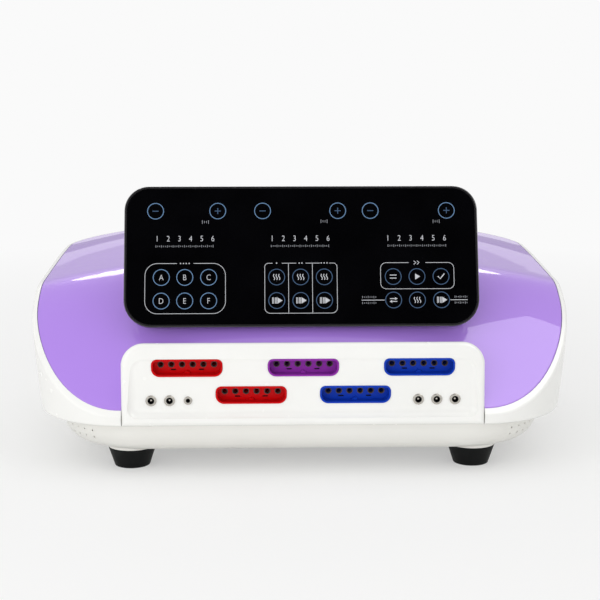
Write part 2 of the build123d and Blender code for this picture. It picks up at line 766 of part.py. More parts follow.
pump_floor_z = floor_z + pump_mount_height
pump_top_z = pump_floor_z + pump_plate
pump_axis_z = pump_top_z + pump_axis_height
pump_chamber_depth = piston_setback + piston_thickness + armature_stroke + pump_chamber_space
pump_x0 = pump_x - pump_length / 2
pump_x1 = pump_x + pump_length / 2
pump_y0 = pump_y - pump_depth / 2
pump_y1 = pump_y + pump_depth / 2
pump_housing = block(pump_x0, pump_x1, pump_y0, pump_y1, pump_floor_z, pump_top_z)
for x in (pump_x0, pump_x1 - pump_plate):
    pump_housing += block(x, x + pump_plate, pump_y0 + 5, pump_y1 - 5,
                          pump_top_z - 1, pump_top_z + pump_wall_height)
pump_housing -= rod_x(pump_hole, pump_y, pump_axis_z, pump_x0 - 5, pump_x1 + 5)


def pump_head(side):
    """Valve head outside the housing's end wall, with a chamber that faces the armature."""
    wall = pump_x + side * pump_length / 2
    end = wall + side * pump_head_length
    y0 = pump_y - pump_head_depth / 2
    body = block(min(wall, end), max(wall, end), y0, y0 + pump_head_depth,
                 pump_axis_z - pump_head_height / 2, pump_axis_z + pump_head_height / 2)
    body = fillet(body.edges().filter_by(Axis.X), 5.0)
    depth = wall + side * pump_chamber_depth
    body -= rod_x(pump_chamber_radius, pump_y, pump_axis_z, min(wall, depth), max(wall, depth))
    top = pump_axis_z + pump_head_height / 2
    body += rod_z(nipple_radius, (wall + end) / 2, pump_y, top - 1, top + nipple_length)
    return body - rod_z(nipple_bore, (wall + end) / 2, pump_y, top - 4, top + nipple_length + 1)


armature = block(pump_x - armature_length / 2, pump_x + armature_length / 2,
                 pump_y - armature_width / 2, pump_y + armature_width / 2,
                 pump_axis_z - armature_height / 2, pump_axis_z + armature_height / 2)
diaphragms = []
for side in (-1, 1):
    piston_x = pump_x + side * (pump_length / 2 + piston_setback)
    rod_start = pump_x + side * (armature_length / 2 - 1)
    armature += rod_x(armature_rod, pump_y, pump_axis_z, min(rod_start, piston_x), max(rod_start, piston_x))
    piston_end = piston_x + side * piston_thickness
    plate = (min(piston_x, piston_end), max(piston_x, piston_end))
    armature += rod_x(piston_radius, pump_y, pump_axis_z, *plate)
    ring = rod_x(pump_chamber_radius - pilot_gap, pump_y, pump_axis_z, *plate)
    diaphragms.append(ring - rod_x(piston_radius + 2 * run_gap, pump_y, pump_axis_z,
                                   pump_x0 - 30, pump_x1 + 30))

pump_coils = []
for side in (-1, 1):
    near = pump_y + side * (armature_width / 2 + coil_gap)
    far = near + side * coil_depth
    core = block(pump_x - coil_length / 2, pump_x + coil_length / 2, min(near, far), max(near, far),
                 pump_top_z, pump_top_z + coil_height)
    winding = block(pump_x - coil_length / 2 - 4, pump_x + coil_length / 2 + 4, min(near, far) + 2,
                    max(near, far) - 2, pump_axis_z - 14, pump_axis_z + 10)
    pump_coils.append(core + winding)

pump_mounts = []
for x in (pump_x0 + 8, pump_x1 - 8):
    for y in (pump_y0 + 8, pump_y1 - 8):
        pump_mounts.append(rod_z(pump_mount_radius, x, y, floor_z, pump_floor_z))

pump_nipple_z = pump_axis_z + pump_head_height / 2
hose_path = FilletPolyline((pump_port_x, pump_y, pump_nipple_z + joint_gap), (pump_port_x, pump_y, 128),
                           (pump_port_x, -8, 128), (pump_port_x, -22, pump_port_z),
                           (pump_port_x, manifold_back_y + joint_gap, pump_port_z),
                           radius=[pump_hose_bend, pump_hose_bend, pump_hose_bend * 0.6])
hose_section = Plane(hose_path @ 0, z_dir=hose_path % 0) * (Circle(pump_hose_radius) - Circle(pump_hose_bore))
pump_hose = sweep(hose_section, path=hose_path)

# ---------------------------------------------------------------- boards in the tray


def circuit_board(x, y, width, depth):
    board = block(x - width / 2, x + width / 2, y - depth / 2, y + depth / 2,
                  board_z, board_z + board_thickness)
    for px, py in standoff_points:
        board -= rod_z(screw_radius + pilot_gap, px, py, board_z - 1, board_z + board_thickness + 1)
    return board


board_top = board_z + board_thickness
main_board = circuit_board(*boards[0])
power_board = circuit_board(*boards[1])


def on_board(x, y, width, depth, height):
    return block(x - width / 2, x + width / 2, y - depth / 2, y + depth / 2, board_top, board_top + height)


main_parts = [on_board(main_board_x + 12, main_board_y + 8, 20, 20, 2.2),
              on_board(cable_x, cable_end_y, 14, 6, cable_plug_height)]
for k in range(valve_count):
    main_parts.append(on_board(main_board_x - 40 + 13 * k, main_board_y - 36, 8, 7, 9))
    main_parts.append(on_board(main_board_x - 38 + 15 * k, main_board_y + 46, 8, 6, 7))
for k in range(3):
    main_parts.append(on_board(main_board_x - 34, main_board_y - 12 + 18 * k, 19, 15, 15))
    main_parts.append(rod_z(4, main_board_x + 44, main_board_y - 16 + 14 * k, board_top, board_top + 12))

power_parts = [on_board(power_board_x + 8, power_board_y + 4, 34, 28, 26),
               on_board(power_board_x - 30, power_board_y + 8, 4, 52, 26),
               on_board(power_board_x - 18, power_board_y - 40, 22, 12, 12),
               on_board(power_board_x + 10, power_board_y + 50, 14, 7, 14)]
for k in range(2):
    power_parts.append(rod_z(9, power_board_x - 4 + 24 * k, power_board_y + 34, board_top, board_top + 25))
    power_parts.append(rod_z(6, power_board_x + 12 + 16 * k, power_board_y - 30, board_top, board_top + 20))

# ---------------------------------------------------------------- rear plate, fan, inlet, rocker

rear_plate = rear_window(0, rear_plate_inner_y, rear_plate_face_y)
for x, z in rear_screw_points:
    rear_plate -= rod_y(screw_radius + pilot_gap, x, z, rear_plate_inner_y - 1, rear_plate_face_y + 1)
for row in range(grille_rows):
    drop = (row - (grille_rows - 1) / 2) * grille_pitch
    reach = (fan_bore ** 2 - drop ** 2) ** 0.5 - 1
    slot = Plane.XZ.offset(-rear_plate_face_y - 1) * Pos(fan_x, rear_middle_z + drop)
    rear_plate -= extrude(slot * SlotOverall(2 * reach, grille_slot), 10)
inlet_z0 = rear_middle_z - inlet_height / 2
inlet_z1 = rear_middle_z + inlet_height / 2
inlet_body = (inlet_x - inlet_half_width, inlet_x + inlet_half_width)
rear_plate -= block(inlet_body[0] - joint_gap, inlet_body[1] + joint_gap, rear_plate_inner_y - 1,
                    rear_plate_face_y + 1, inlet_z0 - joint_gap, inlet_z1 + joint_gap)

fan_back_y = rear_plate_inner_y - pilot_gap
fan_front_y = fan_back_y - fan_depth
fan_frame = block(fan_x - fan_size / 2, fan_x + fan_size / 2, fan_front_y, fan_back_y,
                  rear_middle_z - fan_size / 2, rear_middle_z + fan_size / 2)
fan_frame = fillet(fan_frame.edges().filter_by(Axis.Y), 3.0)
fan_frame -= rod_y(fan_bore, fan_x, rear_middle_z, fan_front_y - 1, fan_back_y + 1)
fan_frame += rod_y(fan_hub, fan_x, rear_middle_z, fan_front_y, fan_front_y + fan_strut)
for turn in range(3):
    arm = block(-1.5, 1.5, fan_front_y, fan_front_y + fan_strut, 0, fan_bore + 1)
    fan_frame += Pos(fan_x, 0, rear_middle_z) * Rot(0, 120 * turn + 45, 0) * arm
for sx in (-1, 1):
    for sz in (-1, 1):
        hole = fan_size / 2 - 5
        fan_frame -= rod_y(2, fan_x + sx * hole, rear_middle_z + sz * hole, fan_front_y - 1, fan_back_y + 1)
fan_frame -= rod_y(fan_shaft + shaft_clearance, fan_x, rear_middle_z, fan_front_y - 1, fan_back_y + 1)

rotor_y0 = fan_front_y + fan_strut + run_gap
rotor_y1 = fan_back_y - 1.5
fan_rotor = rod_y(fan_hub - 1, 0, 0, rotor_y0, rotor_y1)
fan_rotor = fillet(fan_rotor.edges().group_by(Axis.Y)[-1], 1.5)
blade_reach = fan_bore - 3 * run_gap
for turn in range(fan_blades):
    blade = Pos(0, (rotor_y0 + rotor_y1) / 2, (fan_hub + blade_reach) / 2 - 1) * Rot(0, 0, fan_blade_twist)
    blade *= Box(11, 1.0, blade_reach - fan_hub + 2)
    fan_rotor += Rot(0, 360 / fan_blades * turn, 0) * blade
fan_rotor &= rod_y(blade_reach, 0, 0, rotor_y0, rotor_y1)
fan_rotor += rod_y(fan_shaft, 0, 0, fan_front_y + 0.2, rotor_y0 + 1)
fan_rotor = Pos(fan_x, 0, rear_middle_z) * fan_rotor

flange_y = rear_plate_face_y + flange_plate
cavity_z = rear_middle_z + cavity_rise
drawer_z = rear_middle_z - drawer_drop
inlet = block(*inlet_body, flange_y - inlet_depth, flange_y, inlet_z0, inlet_z1)
inlet += block(inlet_body[0] - inlet_flange, inlet_body[1] + inlet_flange, rear_plate_face_y, flange_y,
               inlet_z0 - inlet_flange, inlet_z1 + inlet_flange)
cavity = block(inlet_x - cavity_half_width, inlet_x + cavity_half_width, flange_y - cavity_depth,
               flange_y + 1, cavity_z - cavity_half_height, cavity_z + cavity_half_height)
cavity = chamfer(cavity.edges().filter_by(Axis.Y).group_by(Axis.Z)[-1], 4.0)
inlet -= cavity
slot_y0 = flange_y - drawer_length - 0.5
inlet -= block(inlet_x - drawer_half_width - run_gap, inlet_x + drawer_half_width + run_gap, slot_y0,
               flange_y + 1, drawer_z - drawer_half_height - run_gap, drawer_z + drawer_half_height + run_gap)
blades = []
blade_spots = [(inlet_x - blade_spacing, cavity_z - blade_drop),
               (inlet_x + blade_spacing, cavity_z - blade_drop), (inlet_x, cavity_z + blade_drop)]
for x, z in blade_spots:
    blade = block(x - blade_width / 2, x + blade_width / 2, flange_y - inlet_depth - 6, flange_y - 2,
                  z - blade_height / 2, z + blade_height / 2)
    inlet -= blade
    blades.append(blade)

drawer = block(inlet_x - drawer_half_width, inlet_x + drawer_half_width, flange_y - drawer_length,
               flange_y + run_gap + 1, drawer_z - drawer_half_height, drawer_z + drawer_half_height)
drawer -= block(inlet_x - drawer_half_width + 1.5, inlet_x + drawer_half_width - 1.5,
                flange_y - drawer_length + 1.5, flange_y - 2, drawer_z - 2, drawer_z + drawer_half_height + 1)
face_x = drawer_half_width + drawer_face_margin
face_z = drawer_half_height + drawer_face_margin
drawer += block(inlet_x - face_x, inlet_x + face_x, flange_y + run_gap, flange_y + run_gap + drawer_face,
                drawer_z - face_z, drawer_z + face_z)

rocker_pivot_y = rear_plate_face_y - 1
pocket_x = rocker_half_width + 1.5 * run_gap
pocket_z = rocker_half_height + 1.5
frame_x = pocket_x + rocker_frame_wall
frame_z = pocket_z + rocker_frame_wall
rocker_frame = block(rocker_x - frame_x, rocker_x + frame_x, rear_plate_face_y - rocker_body_depth,
                     rear_plate_face_y + 1, rear_middle_z - frame_z, rear_middle_z + frame_z)
rear_plate -= block(rocker_x - frame_x - joint_gap, rocker_x + frame_x + joint_gap,
                    rear_plate_inner_y - 1, rear_plate_face_y + 1,
                    rear_middle_z - frame_z - joint_gap, rear_middle_z + frame_z + joint_gap)
rocker_frame += block(rocker_x - frame_x - 2, rocker_x + frame_x + 2, rear_plate_face_y,
                      rear_plate_face_y + 2, rear_middle_z - frame_z - 2, rear_middle_z + frame_z + 2)
rocker_frame -= block(rocker_x - pocket_x, rocker_x + pocket_x, rear_plate_face_y - rocker_pocket_depth,
                      rear_plate_face_y + 5, rear_middle_z - pocket_z, rear_middle_z + pocket_z)
pin_reach = pocket_x + 1.2
rocker_frame -= rod_x(rocker_pin + shaft_clearance, rocker_pivot_y, rear_middle_z,
                      rocker_x - pin_reach - 0.2, rocker_x + pin_reach + 0.2)
rocker_profile = Polyline((-3, -6), (5.5, -rocker_half_height), (3.5, 0), (5.5, rocker_half_height),
                          (-3, 6), close=True)
rocker = extrude(Plane.YZ * make_face(rocker_profile), rocker_half_width, both=True)
rocker += rod_x(rocker_pin, 0, 0, -pin_reach, pin_reach)
rocker = Pos(rocker_x, rocker_pivot_y, rear_middle_z) * Rot(-rocker_tilt_deg, 0, 0) * rocker

# ---------------------------------------------------------------- control head

tilt = radians(head_tilt_deg)
head_plane = Plane((0, head_foot_y, head_foot_z), x_dir=(1, 0, 0), z_dir=(0, -cos(tilt), sin(tilt)))
head_frame = head_plane.location


def head_outline(inset):
    outline = keyed_outline(head_width - 2 * inset, head_height - 2 * inset,
                            head_top_corner - inset, head_bottom_corner - inset)
    return Pos(0, head_height / 2) * outline


def head_slab(inset, n0, n1):
    """Head outline between two depths; zero is the front face and depths are negative."""
    return extrude(Pos(0, 0, n0) * head_outline(inset), n1 - n0)


ledge_n = -glass_thickness - pilot_gap
bezel = head_slab(0, -bezel_depth, 0)
bezel = fillet(bezel.edges().group_by(Axis.Z)[-1], 0.9)
bezel = fillet(bezel.edges().group_by(Axis.Z)[0], 2.5)
bezel -= head_slab(bezel_rim, ledge_n, 1)
bezel -= head_slab(bezel_rim + bezel_ledge, -bezel_depth - 1, 1)
glass = head_slab(bezel_rim + pilot_gap, -glass_thickness, 0)

plate_n = -bezel_depth - joint_gap
head_back = head_slab(back_plate_inset, plate_n - back_plate, plate_n)
hump_n = plate_n - hump_depth


def hump(inset, n1):
    body = block(-hump_half_width + inset, hump_half_width - inset, hump_low + inset, hump_high - inset,
                 hump_n + inset, n1)
    body = fillet(body.edges().filter_by(Axis.Z), hump_round - min(inset, hump_wall))
    return fillet(body.edges().group_by(Axis.Z)[0], hump_round - 2 - min(inset, hump_wall))


head_back += hump(0, plate_n - 0.5)
head_back -= hump(hump_wall, plate_n + 1)
head_back -= Pos(cable_x, cable_exit_v, hump_n) * Cylinder(cable_radius + 1.5, 10)

board_n = -bezel_depth + 0.1
board_front_n = board_n + 1.4
control_board = Pos(0, head_height / 2, (board_n + board_front_n) / 2)
control_board *= Box(control_board_width, control_board_height, board_front_n - board_n)
displays = []
springs = []
behind_glass = -glass_thickness - pilot_gap


def key_spring(x, v):
    """Short contact spring, drawn as the tube that it fills."""
    height = behind_glass - board_front_n
    coil = Pos(x, v, board_front_n + height / 2) * Cylinder(spring_radius, height)
    return coil - Pos(x, v, 0) * Cylinder(spring_radius - 0.6, 30)


for column in (-1, 0, 1):
    x = column * key_group_x
    middle_n = (board_front_n + behind_glass) / 2
    window = Box(display_width, display_height, behind_glass - board_front_n)
    displays.append(Pos(x, key_top_v, middle_n) * window)
    for side in (-1, 1):
        springs.append(key_spring(x + side * key_half_span, key_top_v))
for x, pitch in ((-key_group_x, mode_pitch_x), (0, middle_pitch_x), (key_group_x, right_pitch_x)):
    for column in (-1, 0, 1):
        for v in (key_row_high_v, key_row_low_v):
            springs.append(key_spring(x + column * pitch, v))


def head_to_world(v, n):
    """World Y and Z of a point v up the head's face and n in front of it."""
    return (head_foot_y + v * sin(tilt) - n * cos(tilt), head_foot_z + v * cos(tilt) + n * sin(tilt))


pedestal_n = plate_n - back_plate - joint_gap
side_view = [head_to_world(pedestal_low_v, pedestal_n), head_to_world(pedestal_high_v, pedestal_n),
             head_to_world(pedestal_high_v, -pedestal_high_n), (pedestal_back_y, crown_deck[1] - 5),
             (pedestal_back_y, 140), (head_to_world(pedestal_low_v, pedestal_n)[0] + pedestal_toe, 90)]
pedestal_face = make_face(Polyline(*side_view, close=True))
pedestal_body = extrude(Plane.YZ * pedestal_face, pedestal_half_width, both=True)
side_edges = [e for e in pedestal_body.edges() if abs(e.center().X) > pedestal_half_width - 1]
pedestal_body = fillet(side_edges, pedestal_round)
pedestal_body -= crown(-joint_gap)
hump_clearance = block(-hump_half_width - 1, hump_half_width + 1, hump_low - joint_gap, hump_high + joint_gap,
                       hump_n - joint_gap, plate_n)
pedestal_body -= head_frame * hump_clearance
inner_face = offset(pedestal_face, -pedestal_wall, kind=Kind.INTERSECTION)
pedestal = pedestal_body - extrude(Plane.YZ * inner_face, pedestal_half_width - pedestal_wall, both=True)
for x, y in pedestal_screw_points:
    side = 1 if x > 0 else -1
    wall_x = side * (pedestal_half_width - 1)
    boss = block(min(x - side * 5, wall_x), max(x - side * 5, wall_x), y - 5, y + 5,
                 140, crown_ridge[1] + pedestal_boss_height)
    pedestal += boss & pedestal_body
    pedestal -= rod_z(screw_radius + pilot_gap, x, y, 120, 220)

cable_start = head_to_world(cable_exit_v, board_n - 1)
cable_turn = head_to_world(cable_exit_v, -44)
cable_path = FilletPolyline((cable_x, *cable_start), (cable_x, *cable_turn),
                            (cable_x, cable_hole_y + 4, 150), (cable_x, cable_end_y, 105),
                            (cable_x, cable_end_y, board_top + cable_plug_height + joint_gap),
                            radius=[9, 25, 30])
cable = sweep(Plane(cable_path @ 0, z_dir=cable_path % 0) * Circle(cable_radius), path=cable_path)

# ---------------------------------------------------------------- small screws

small_screws = []
for x in panel_screw_xs:
    small_screws.append(screw(x, panel_screw_y, tray_top_z - 3, screw_up))
for x, z in rear_screw_points:
    small_screws.append(screw(x, rear_plate_face_y, z, screw_inward))
for x, y in standoff_points:
    small_screws.append(screw(x, y, board_top, screw_down))
for x, y in pedestal_screw_points:
    under = crown_ridge[1] - x * x / (2 * crown_swing) + crown_deck_slope * (y - crown_ridge[0])
    small_screws.append(screw(x, y, under - cover_wall - 3 * joint_gap, screw_up))

# ---------------------------------------------------------------- files

os.makedirs("parts", exist_ok=True)
save("base_tray", tray)
save("case_band", band)
save("top_cover", cover)
save("connector_panel", panel)
for name, foot in zip(("foot_front_left", "foot_front_right", "foot_rear_left", "foot_rear_right"), feet):
    save(name, foot)
save("foot_screws", group(foot_screws))
save("case_screws", group(case_screws))
save("small_screws", group(small_screws))
for name, socket in zip(socket_names, sockets):
    save(name, socket)
save("port_seals", group(port_seals))
save("barrel_jack_bodies", group(jack_bodies))
save("barrel_jack_metal", group(jack_metal))
save("audio_jack", audio_jack)
save("jack_boards", group(jack_boards))
save("socket_hoses", group(socket_hoses))
save("valve_manifold", manifold)
save("valve_coils", group(valve_coils))
for number, plunger in enumerate(plungers, 1):
    save("valve_plunger_%d" % number, plunger)
save("pressure_sensor", sensor)
save("pump_housing", pump_housing)
save("pump_head_left", pump_head(-1))
save("pump_head_right", pump_head(1))
save("pump_coils", group(pump_coils))
save("pump_armature", armature)
save("pump_diaphragms", group(diaphragms))
save("pump_mounts", group(pump_mounts))
save("pump_hose", pump_hose)
save("main_board", main_board)
save("main_board_parts", group(main_parts))
save("power_board", power_board)
save("power_board_parts", group(power_parts))
save("rear_plate", rear_plate)
save("fan_frame", fan_frame)
save("fan_rotor", fan_rotor)
save("mains_inlet", inlet)
save("inlet_blades", group(blades))
save("fuse_drawer", drawer)
save("rocker_frame", rocker_frame)
save("power_rocker", rocker)
save("head_bezel", head_frame * bezel)
save("head_glass", head_frame * glass)
save("head_back", head_frame * head_back)
save("head_pedestal", pedestal)
save("control_board", head_frame * control_board)
save("display_modules", group([head_frame * d for d in displays]))
save("touch_springs", group([head_frame * s for s in springs]))
save("head_cable", cable)
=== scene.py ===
# %% [markdown]
# # A compression therapy pump, from frame to finish
# The pump is a wide plastic case on four rubber feet. A purple cover is set in a white ring, a white
# panel in front carries the hose sockets and jacks, and a tilted glass head holds the touch keys.
# The hard pieces arrive ready from the frame, at their true size in metres. Here they get their
# finishes, and the glass gets its printed keys.

# %% Load the frame
import bmesh
import bpy
import numpy as np
from math import cos, pi, radians, sin
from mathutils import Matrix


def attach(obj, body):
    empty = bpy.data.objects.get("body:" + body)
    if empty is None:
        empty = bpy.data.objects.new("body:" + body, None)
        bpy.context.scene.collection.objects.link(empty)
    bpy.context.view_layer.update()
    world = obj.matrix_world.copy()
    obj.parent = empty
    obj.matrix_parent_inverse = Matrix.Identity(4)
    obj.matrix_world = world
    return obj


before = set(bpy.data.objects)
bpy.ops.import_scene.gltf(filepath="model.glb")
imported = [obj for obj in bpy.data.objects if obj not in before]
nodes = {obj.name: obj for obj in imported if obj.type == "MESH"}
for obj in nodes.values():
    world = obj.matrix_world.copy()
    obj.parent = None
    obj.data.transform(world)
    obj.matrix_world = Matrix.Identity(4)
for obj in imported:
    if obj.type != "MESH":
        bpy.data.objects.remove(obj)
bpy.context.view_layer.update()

# %% [markdown]
# ## The camera first
# The viewpoint decides which edges show, so it comes before any finish. The lens is long (84 mm on a
# 36 mm sensor), because a product is shot from a distance to keep its verticals upright. It looks
# down by ten degrees, which shows the crown of the cover and the front of the sockets together, and
# it stands 32 mm to the left of the middle, turned back towards the pump by 1.5 degrees.

# %% Camera
look_down, turn_right = radians(10.0), radians(1.5)
camera_data = bpy.data.cameras.new("studio_camera")
camera_data.sensor_width = 36.0
camera_data.lens = 84.0
camera = bpy.data.objects.new("studio_camera", camera_data)
camera.location = (-0.032, -1.268, 0.3448)
camera.rotation_euler = (pi / 2 - look_down, 0.0, -turn_right)
bpy.context.scene.collection.objects.link(camera)
bpy.context.scene.camera = camera
print("camera at", tuple(round(v, 3) for v in camera.location))

# %% [markdown]
# ## Small tools for node materials
# Every finish below is a short chain of nodes. A few helpers keep the cells readable: they add and
# join nodes, start a material with a Principled shader, and let a pattern vary its colour, its gloss or
# its relief. Colours are written as screen values from 0 to 255 and turned into the linear values that
# light works with.

# %% Node helpers
pattern_start, pattern_end = 0.3, 0.7      # most of a noise pattern lies between these


def linear(red, green, blue):
    """Screen colour to linear light: ((c / 255 + 0.055) / 1.055) ** 2.4, or c / 255 / 12.92 near black."""
    screen = np.array([red, green, blue]) / 255.0
    light = np.where(screen > 0.04045, ((screen + 0.055) / 1.055) ** 2.4, screen / 12.92)
    return (*light.tolist(), 1.0)


def add_node(material, kind, values=None, **settings):
    """A new node with these settings, and with these plain values on its sockets."""
    node = material.node_tree.nodes.new(kind)
    for setting, value in settings.items():
        setattr(node, setting, value)
    for socket, value in (values or {}).items():
        node.inputs[socket].default_value = value
    return node


def join(material, source, output, target, socket):
    """A link from one node's output to another node's socket."""
    material.node_tree.links.new(source.outputs[output], target.inputs[socket])


def principled(name, **plain):
    """A material whose Principled shader has these plain values."""
    material = bpy.data.materials.new(name)
    material.use_nodes = True
    shader = material.node_tree.nodes["Principled BSDF"]
    for socket, value in plain.items():
        shader.inputs[socket.replace("_", " ")].default_value = value
    return material, shader


def new_finish(name, **plain):
    """A Principled material and its shader, with a node that gives the piece's Object coordinates."""
    material, shader = principled(name, **plain)
    return material, shader, add_node(material, "ShaderNodeTexCoord")


def noise(material, place, size_mm, detail=2.0):
    """Cloudy pattern whose blobs are about size_mm across."""
    cloud = add_node(material, "ShaderNodeTexNoise",
                     {"Scale": 1000.0 / size_mm, "Detail": detail, "Roughness": 0.5})
    join(material, place, "Object", cloud, "Vector")
    return cloud


def vary_colour(material, shader, cloud, low, high, start=pattern_start, end=pattern_end):
    """Base colour runs from low to high as the pattern goes from start to end."""
    ramp = add_node(material, "ShaderNodeValToRGB")
    ramp.color_ramp.elements[0].position = start
    ramp.color_ramp.elements[0].color = low
    ramp.color_ramp.elements[1].position = end
    ramp.color_ramp.elements[1].color = high
    join(material, cloud, "Fac", ramp, "Fac")
    join(material, ramp, "Color", shader, "Base Color")


def vary_roughness(material, shader, cloud, low, high):
    """Roughness runs from low to high as the pattern goes from its start to its end."""
    spread = add_node(material, "ShaderNodeMapRange", {"From Min": pattern_start, "From Max": pattern_end,
                                                       "To Min": low, "To Max": high})
    join(material, cloud, "Fac", spread, "Value")
    join(material, spread, "Result", shader, "Roughness")


def relief(material, shader, pattern, depth_mm):
    """Bump whose pattern stands depth_mm high where it is 1."""
    bump = add_node(material, "ShaderNodeBump", {"Distance": depth_mm / 1000.0, "Strength": 1.0})
    join(material, pattern, "Fac", bump, "Height")
    join(material, bump, "Normal", shader, "Normal")


def darker(colour, share):
    """The colour's light times share."""
    return (colour[0] * share, colour[1] * share, colour[2] * share, 1.0)

# %% [markdown]
# ## Moulded and painted plastic
# The case is injection moulded. Its gloss is never perfect: the skin has a faint ripple from the
# mould, called orange peel, and the tone drifts a little over a hand's width. A clear coat on top of a
# rougher base gives the deep look of the painted cover. A fine, deep grain instead of the ripple
# makes the textured black parts.

# %% Plastic finishes
def plastic(name, colour, roughness, ripple_mm, ripple_depth, tone=0.965, coat=0.0, clear=0.05, shine=0.5):
    """Moulded skin with ripples ripple_mm wide and ripple_depth mm deep.

    tone is its darkest share of the colour, coat how much clear coat it has, clear the coat's roughness,
    and shine the Specular IOR Level under the coat.
    """
    material, shader, place = new_finish(name, Coat_Weight=coat, Coat_Roughness=clear,
                                         Specular_IOR_Level=shine)
    tone_drift = noise(material, place, 60.0)
    vary_colour(material, shader, tone_drift, darker(colour, tone), colour)
    vary_roughness(material, shader, noise(material, place, 9.0, detail=4.0),
                   roughness * 0.9, roughness * 1.15)
    relief(material, shader, noise(material, place, ripple_mm, detail=1.0), ripple_depth)
    return material


case_white = linear(243, 243, 240)
tray_white = linear(232, 231, 226)
cover_purple = linear(173, 130, 229)
finishes = {
    "case_white": plastic("case_white", case_white, 0.24, 3.0, 0.0012),
    "tray_white": plastic("tray_white", tray_white, 0.32, 2.5, 0.002),
    "cover_purple": plastic("cover_purple", cover_purple, 0.35, 5.0, 0.0006, tone=0.985, coat=0.9, clear=0.02,
                            shine=0.15),
    "socket_red": plastic("socket_red", linear(206, 0, 8), 0.3, 2.0, 0.001, tone=0.95, shine=0.12),
    "socket_violet": plastic("socket_violet", linear(146, 48, 168), 0.3, 2.0, 0.001, tone=0.95, shine=0.12),
    "socket_blue": plastic("socket_blue", linear(14, 62, 184), 0.3, 2.0, 0.001, tone=0.95, shine=0.12),
    "black_plastic": plastic("black_plastic", linear(34, 34, 36), 0.5, 0.45, 0.02, tone=0.8),
    "valve_plastic": plastic("valve_plastic", linear(226, 225, 220), 0.42, 0.6, 0.012),
    "bezel_black": plastic("bezel_black", linear(40, 39, 41), 0.16, 4.0, 0.002, tone=0.85, coat=0.5),
    "display_dark": plastic("display_dark", linear(30, 12, 12), 0.12, 4.0, 0.001, tone=0.8),
    "cable_jacket": plastic("cable_jacket", linear(48, 48, 50), 0.55, 0.7, 0.02, tone=0.85),
}
print("plastic finishes", len(finishes))

# %% [markdown]
# ## Rubber, hose and wound coils
# Rubber feet are matt, with a fine speckle, and a trace of sheen stands for dust. Silicone hose lets
# light through. A coil shows its winding as stripes round the core, which a wave pattern gives with a
# fraction of the faces that real wire would need. The darker stripes are painted shade in the grooves
# between the turns.

# %% Rubber, hose and coil finishes
def rubber(name, colour, speckle_mm=0.5):
    """Matt and grainy, with darker clouds and a trace of sheen."""
    material, shader, place = new_finish(name, Specular_IOR_Level=0.15, Sheen_Weight=0.01,
                                         Sheen_Roughness=0.5)
    speckle = noise(material, place, speckle_mm, detail=3.0)
    vary_colour(material, shader, noise(material, place, 12.0, detail=5.0), darker(colour, 0.7), colour)
    vary_roughness(material, shader, speckle, 0.48, 0.68)
    relief(material, shader, speckle, 0.03)
    return material


def silicone(name, colour):
    """Milky hose: a little over half of it transmits light."""
    material, shader, place = new_finish(name, Transmission_Weight=0.55, IOR=1.41)
    vary_colour(material, shader, noise(material, place, 15.0), darker(colour, 0.94), colour)
    vary_roughness(material, shader, noise(material, place, 4.0), 0.25, 0.4)
    relief(material, shader, noise(material, place, 1.5), 0.006)
    return material


def winding(name, wire, painted_groove_shade, metal, spread_mm=0.6):
    """Stripes along Z: a sine of z / spread_mm, so that one comes every 2 * pi * spread_mm."""
    built_in = 20.0      # the wave texture multiplies Scale by this
    material, shader, place = new_finish(name, Metallic=metal)
    turns = add_node(material, "ShaderNodeTexWave",
                     {"Scale": 1000.0 / spread_mm / built_in, "Distortion": 0.4, "Detail": 1.0},
                     bands_direction="Z", wave_profile="SIN")
    join(material, place, "Object", turns, "Vector")
    # The darker stripe colour is painted shade in the grooves between the turns.
    vary_colour(material, shader, turns, painted_groove_shade, wire, 0.1, 0.6)
    vary_roughness(material, shader, noise(material, place, 3.0), 0.3, 0.42)
    relief(material, shader, turns, 0.1)
    return material


finishes["foot_rubber"] = rubber("foot_rubber", linear(12, 14, 14))
finishes["seal_grey"] = rubber("seal_grey", linear(96, 84, 82))
finishes["clear_hose"] = silicone("clear_hose", linear(226, 229, 227))
# The second colour of each coil is painted shade in its grooves.
finishes["coil_wrap"] = winding("coil_wrap", linear(38, 70, 130), linear(18, 34, 70), 0.0, spread_mm=4.0)
finishes["coil_copper"] = winding("coil_copper", linear(196, 112, 66), linear(88, 44, 26), 0.85)
print("finishes so far", len(finishes))

# %% [markdown]
# ## Metal and circuit board
# Metal parts differ in their gloss and grain. Nickel is the smoothest, zinc on a screw is duller and
# cloudy, and a die casting has a sandy skin. On the boards the copper tracks show as a lighter green
# under the lacquer: a brick pattern with thin mortar reads as tracks from a hand away.

# %% Metal and board finishes
def metal(name, colour, cloud_mm, rough_low, rough_high, grain_mm, grain_depth):
    """Clouds of tone and gloss cloud_mm wide, over a grain grain_mm wide and grain_depth mm deep."""
    material, shader, place = new_finish(name, Metallic=1.0)
    cloud = noise(material, place, cloud_mm, detail=4.0)
    vary_colour(material, shader, cloud, darker(colour, 0.82), colour)
    vary_roughness(material, shader, cloud, rough_low, rough_high)
    relief(material, shader, noise(material, place, grain_mm, detail=3.0), grain_depth)
    return material


def circuit_board(name, lacquer, track):
    """Lacquer as long bricks, with the tracks as the mortar between them."""
    material, shader, place = new_finish(name, Coat_Weight=0.3)
    tracks = add_node(material, "ShaderNodeTexBrick",
                      {"Scale": 110.0, "Color1": lacquer, "Color2": darker(lacquer, 0.9), "Mortar": track,
                       "Mortar Size": 0.06, "Bias": 0.0, "Brick Width": 1.2, "Row Height": 0.35})
    join(material, place, "Object", tracks, "Vector")
    join(material, tracks, "Color", shader, "Base Color")
    vary_roughness(material, shader, noise(material, place, 5.0), 0.3, 0.45)
    relief(material, shader, tracks, -0.035)
    return material


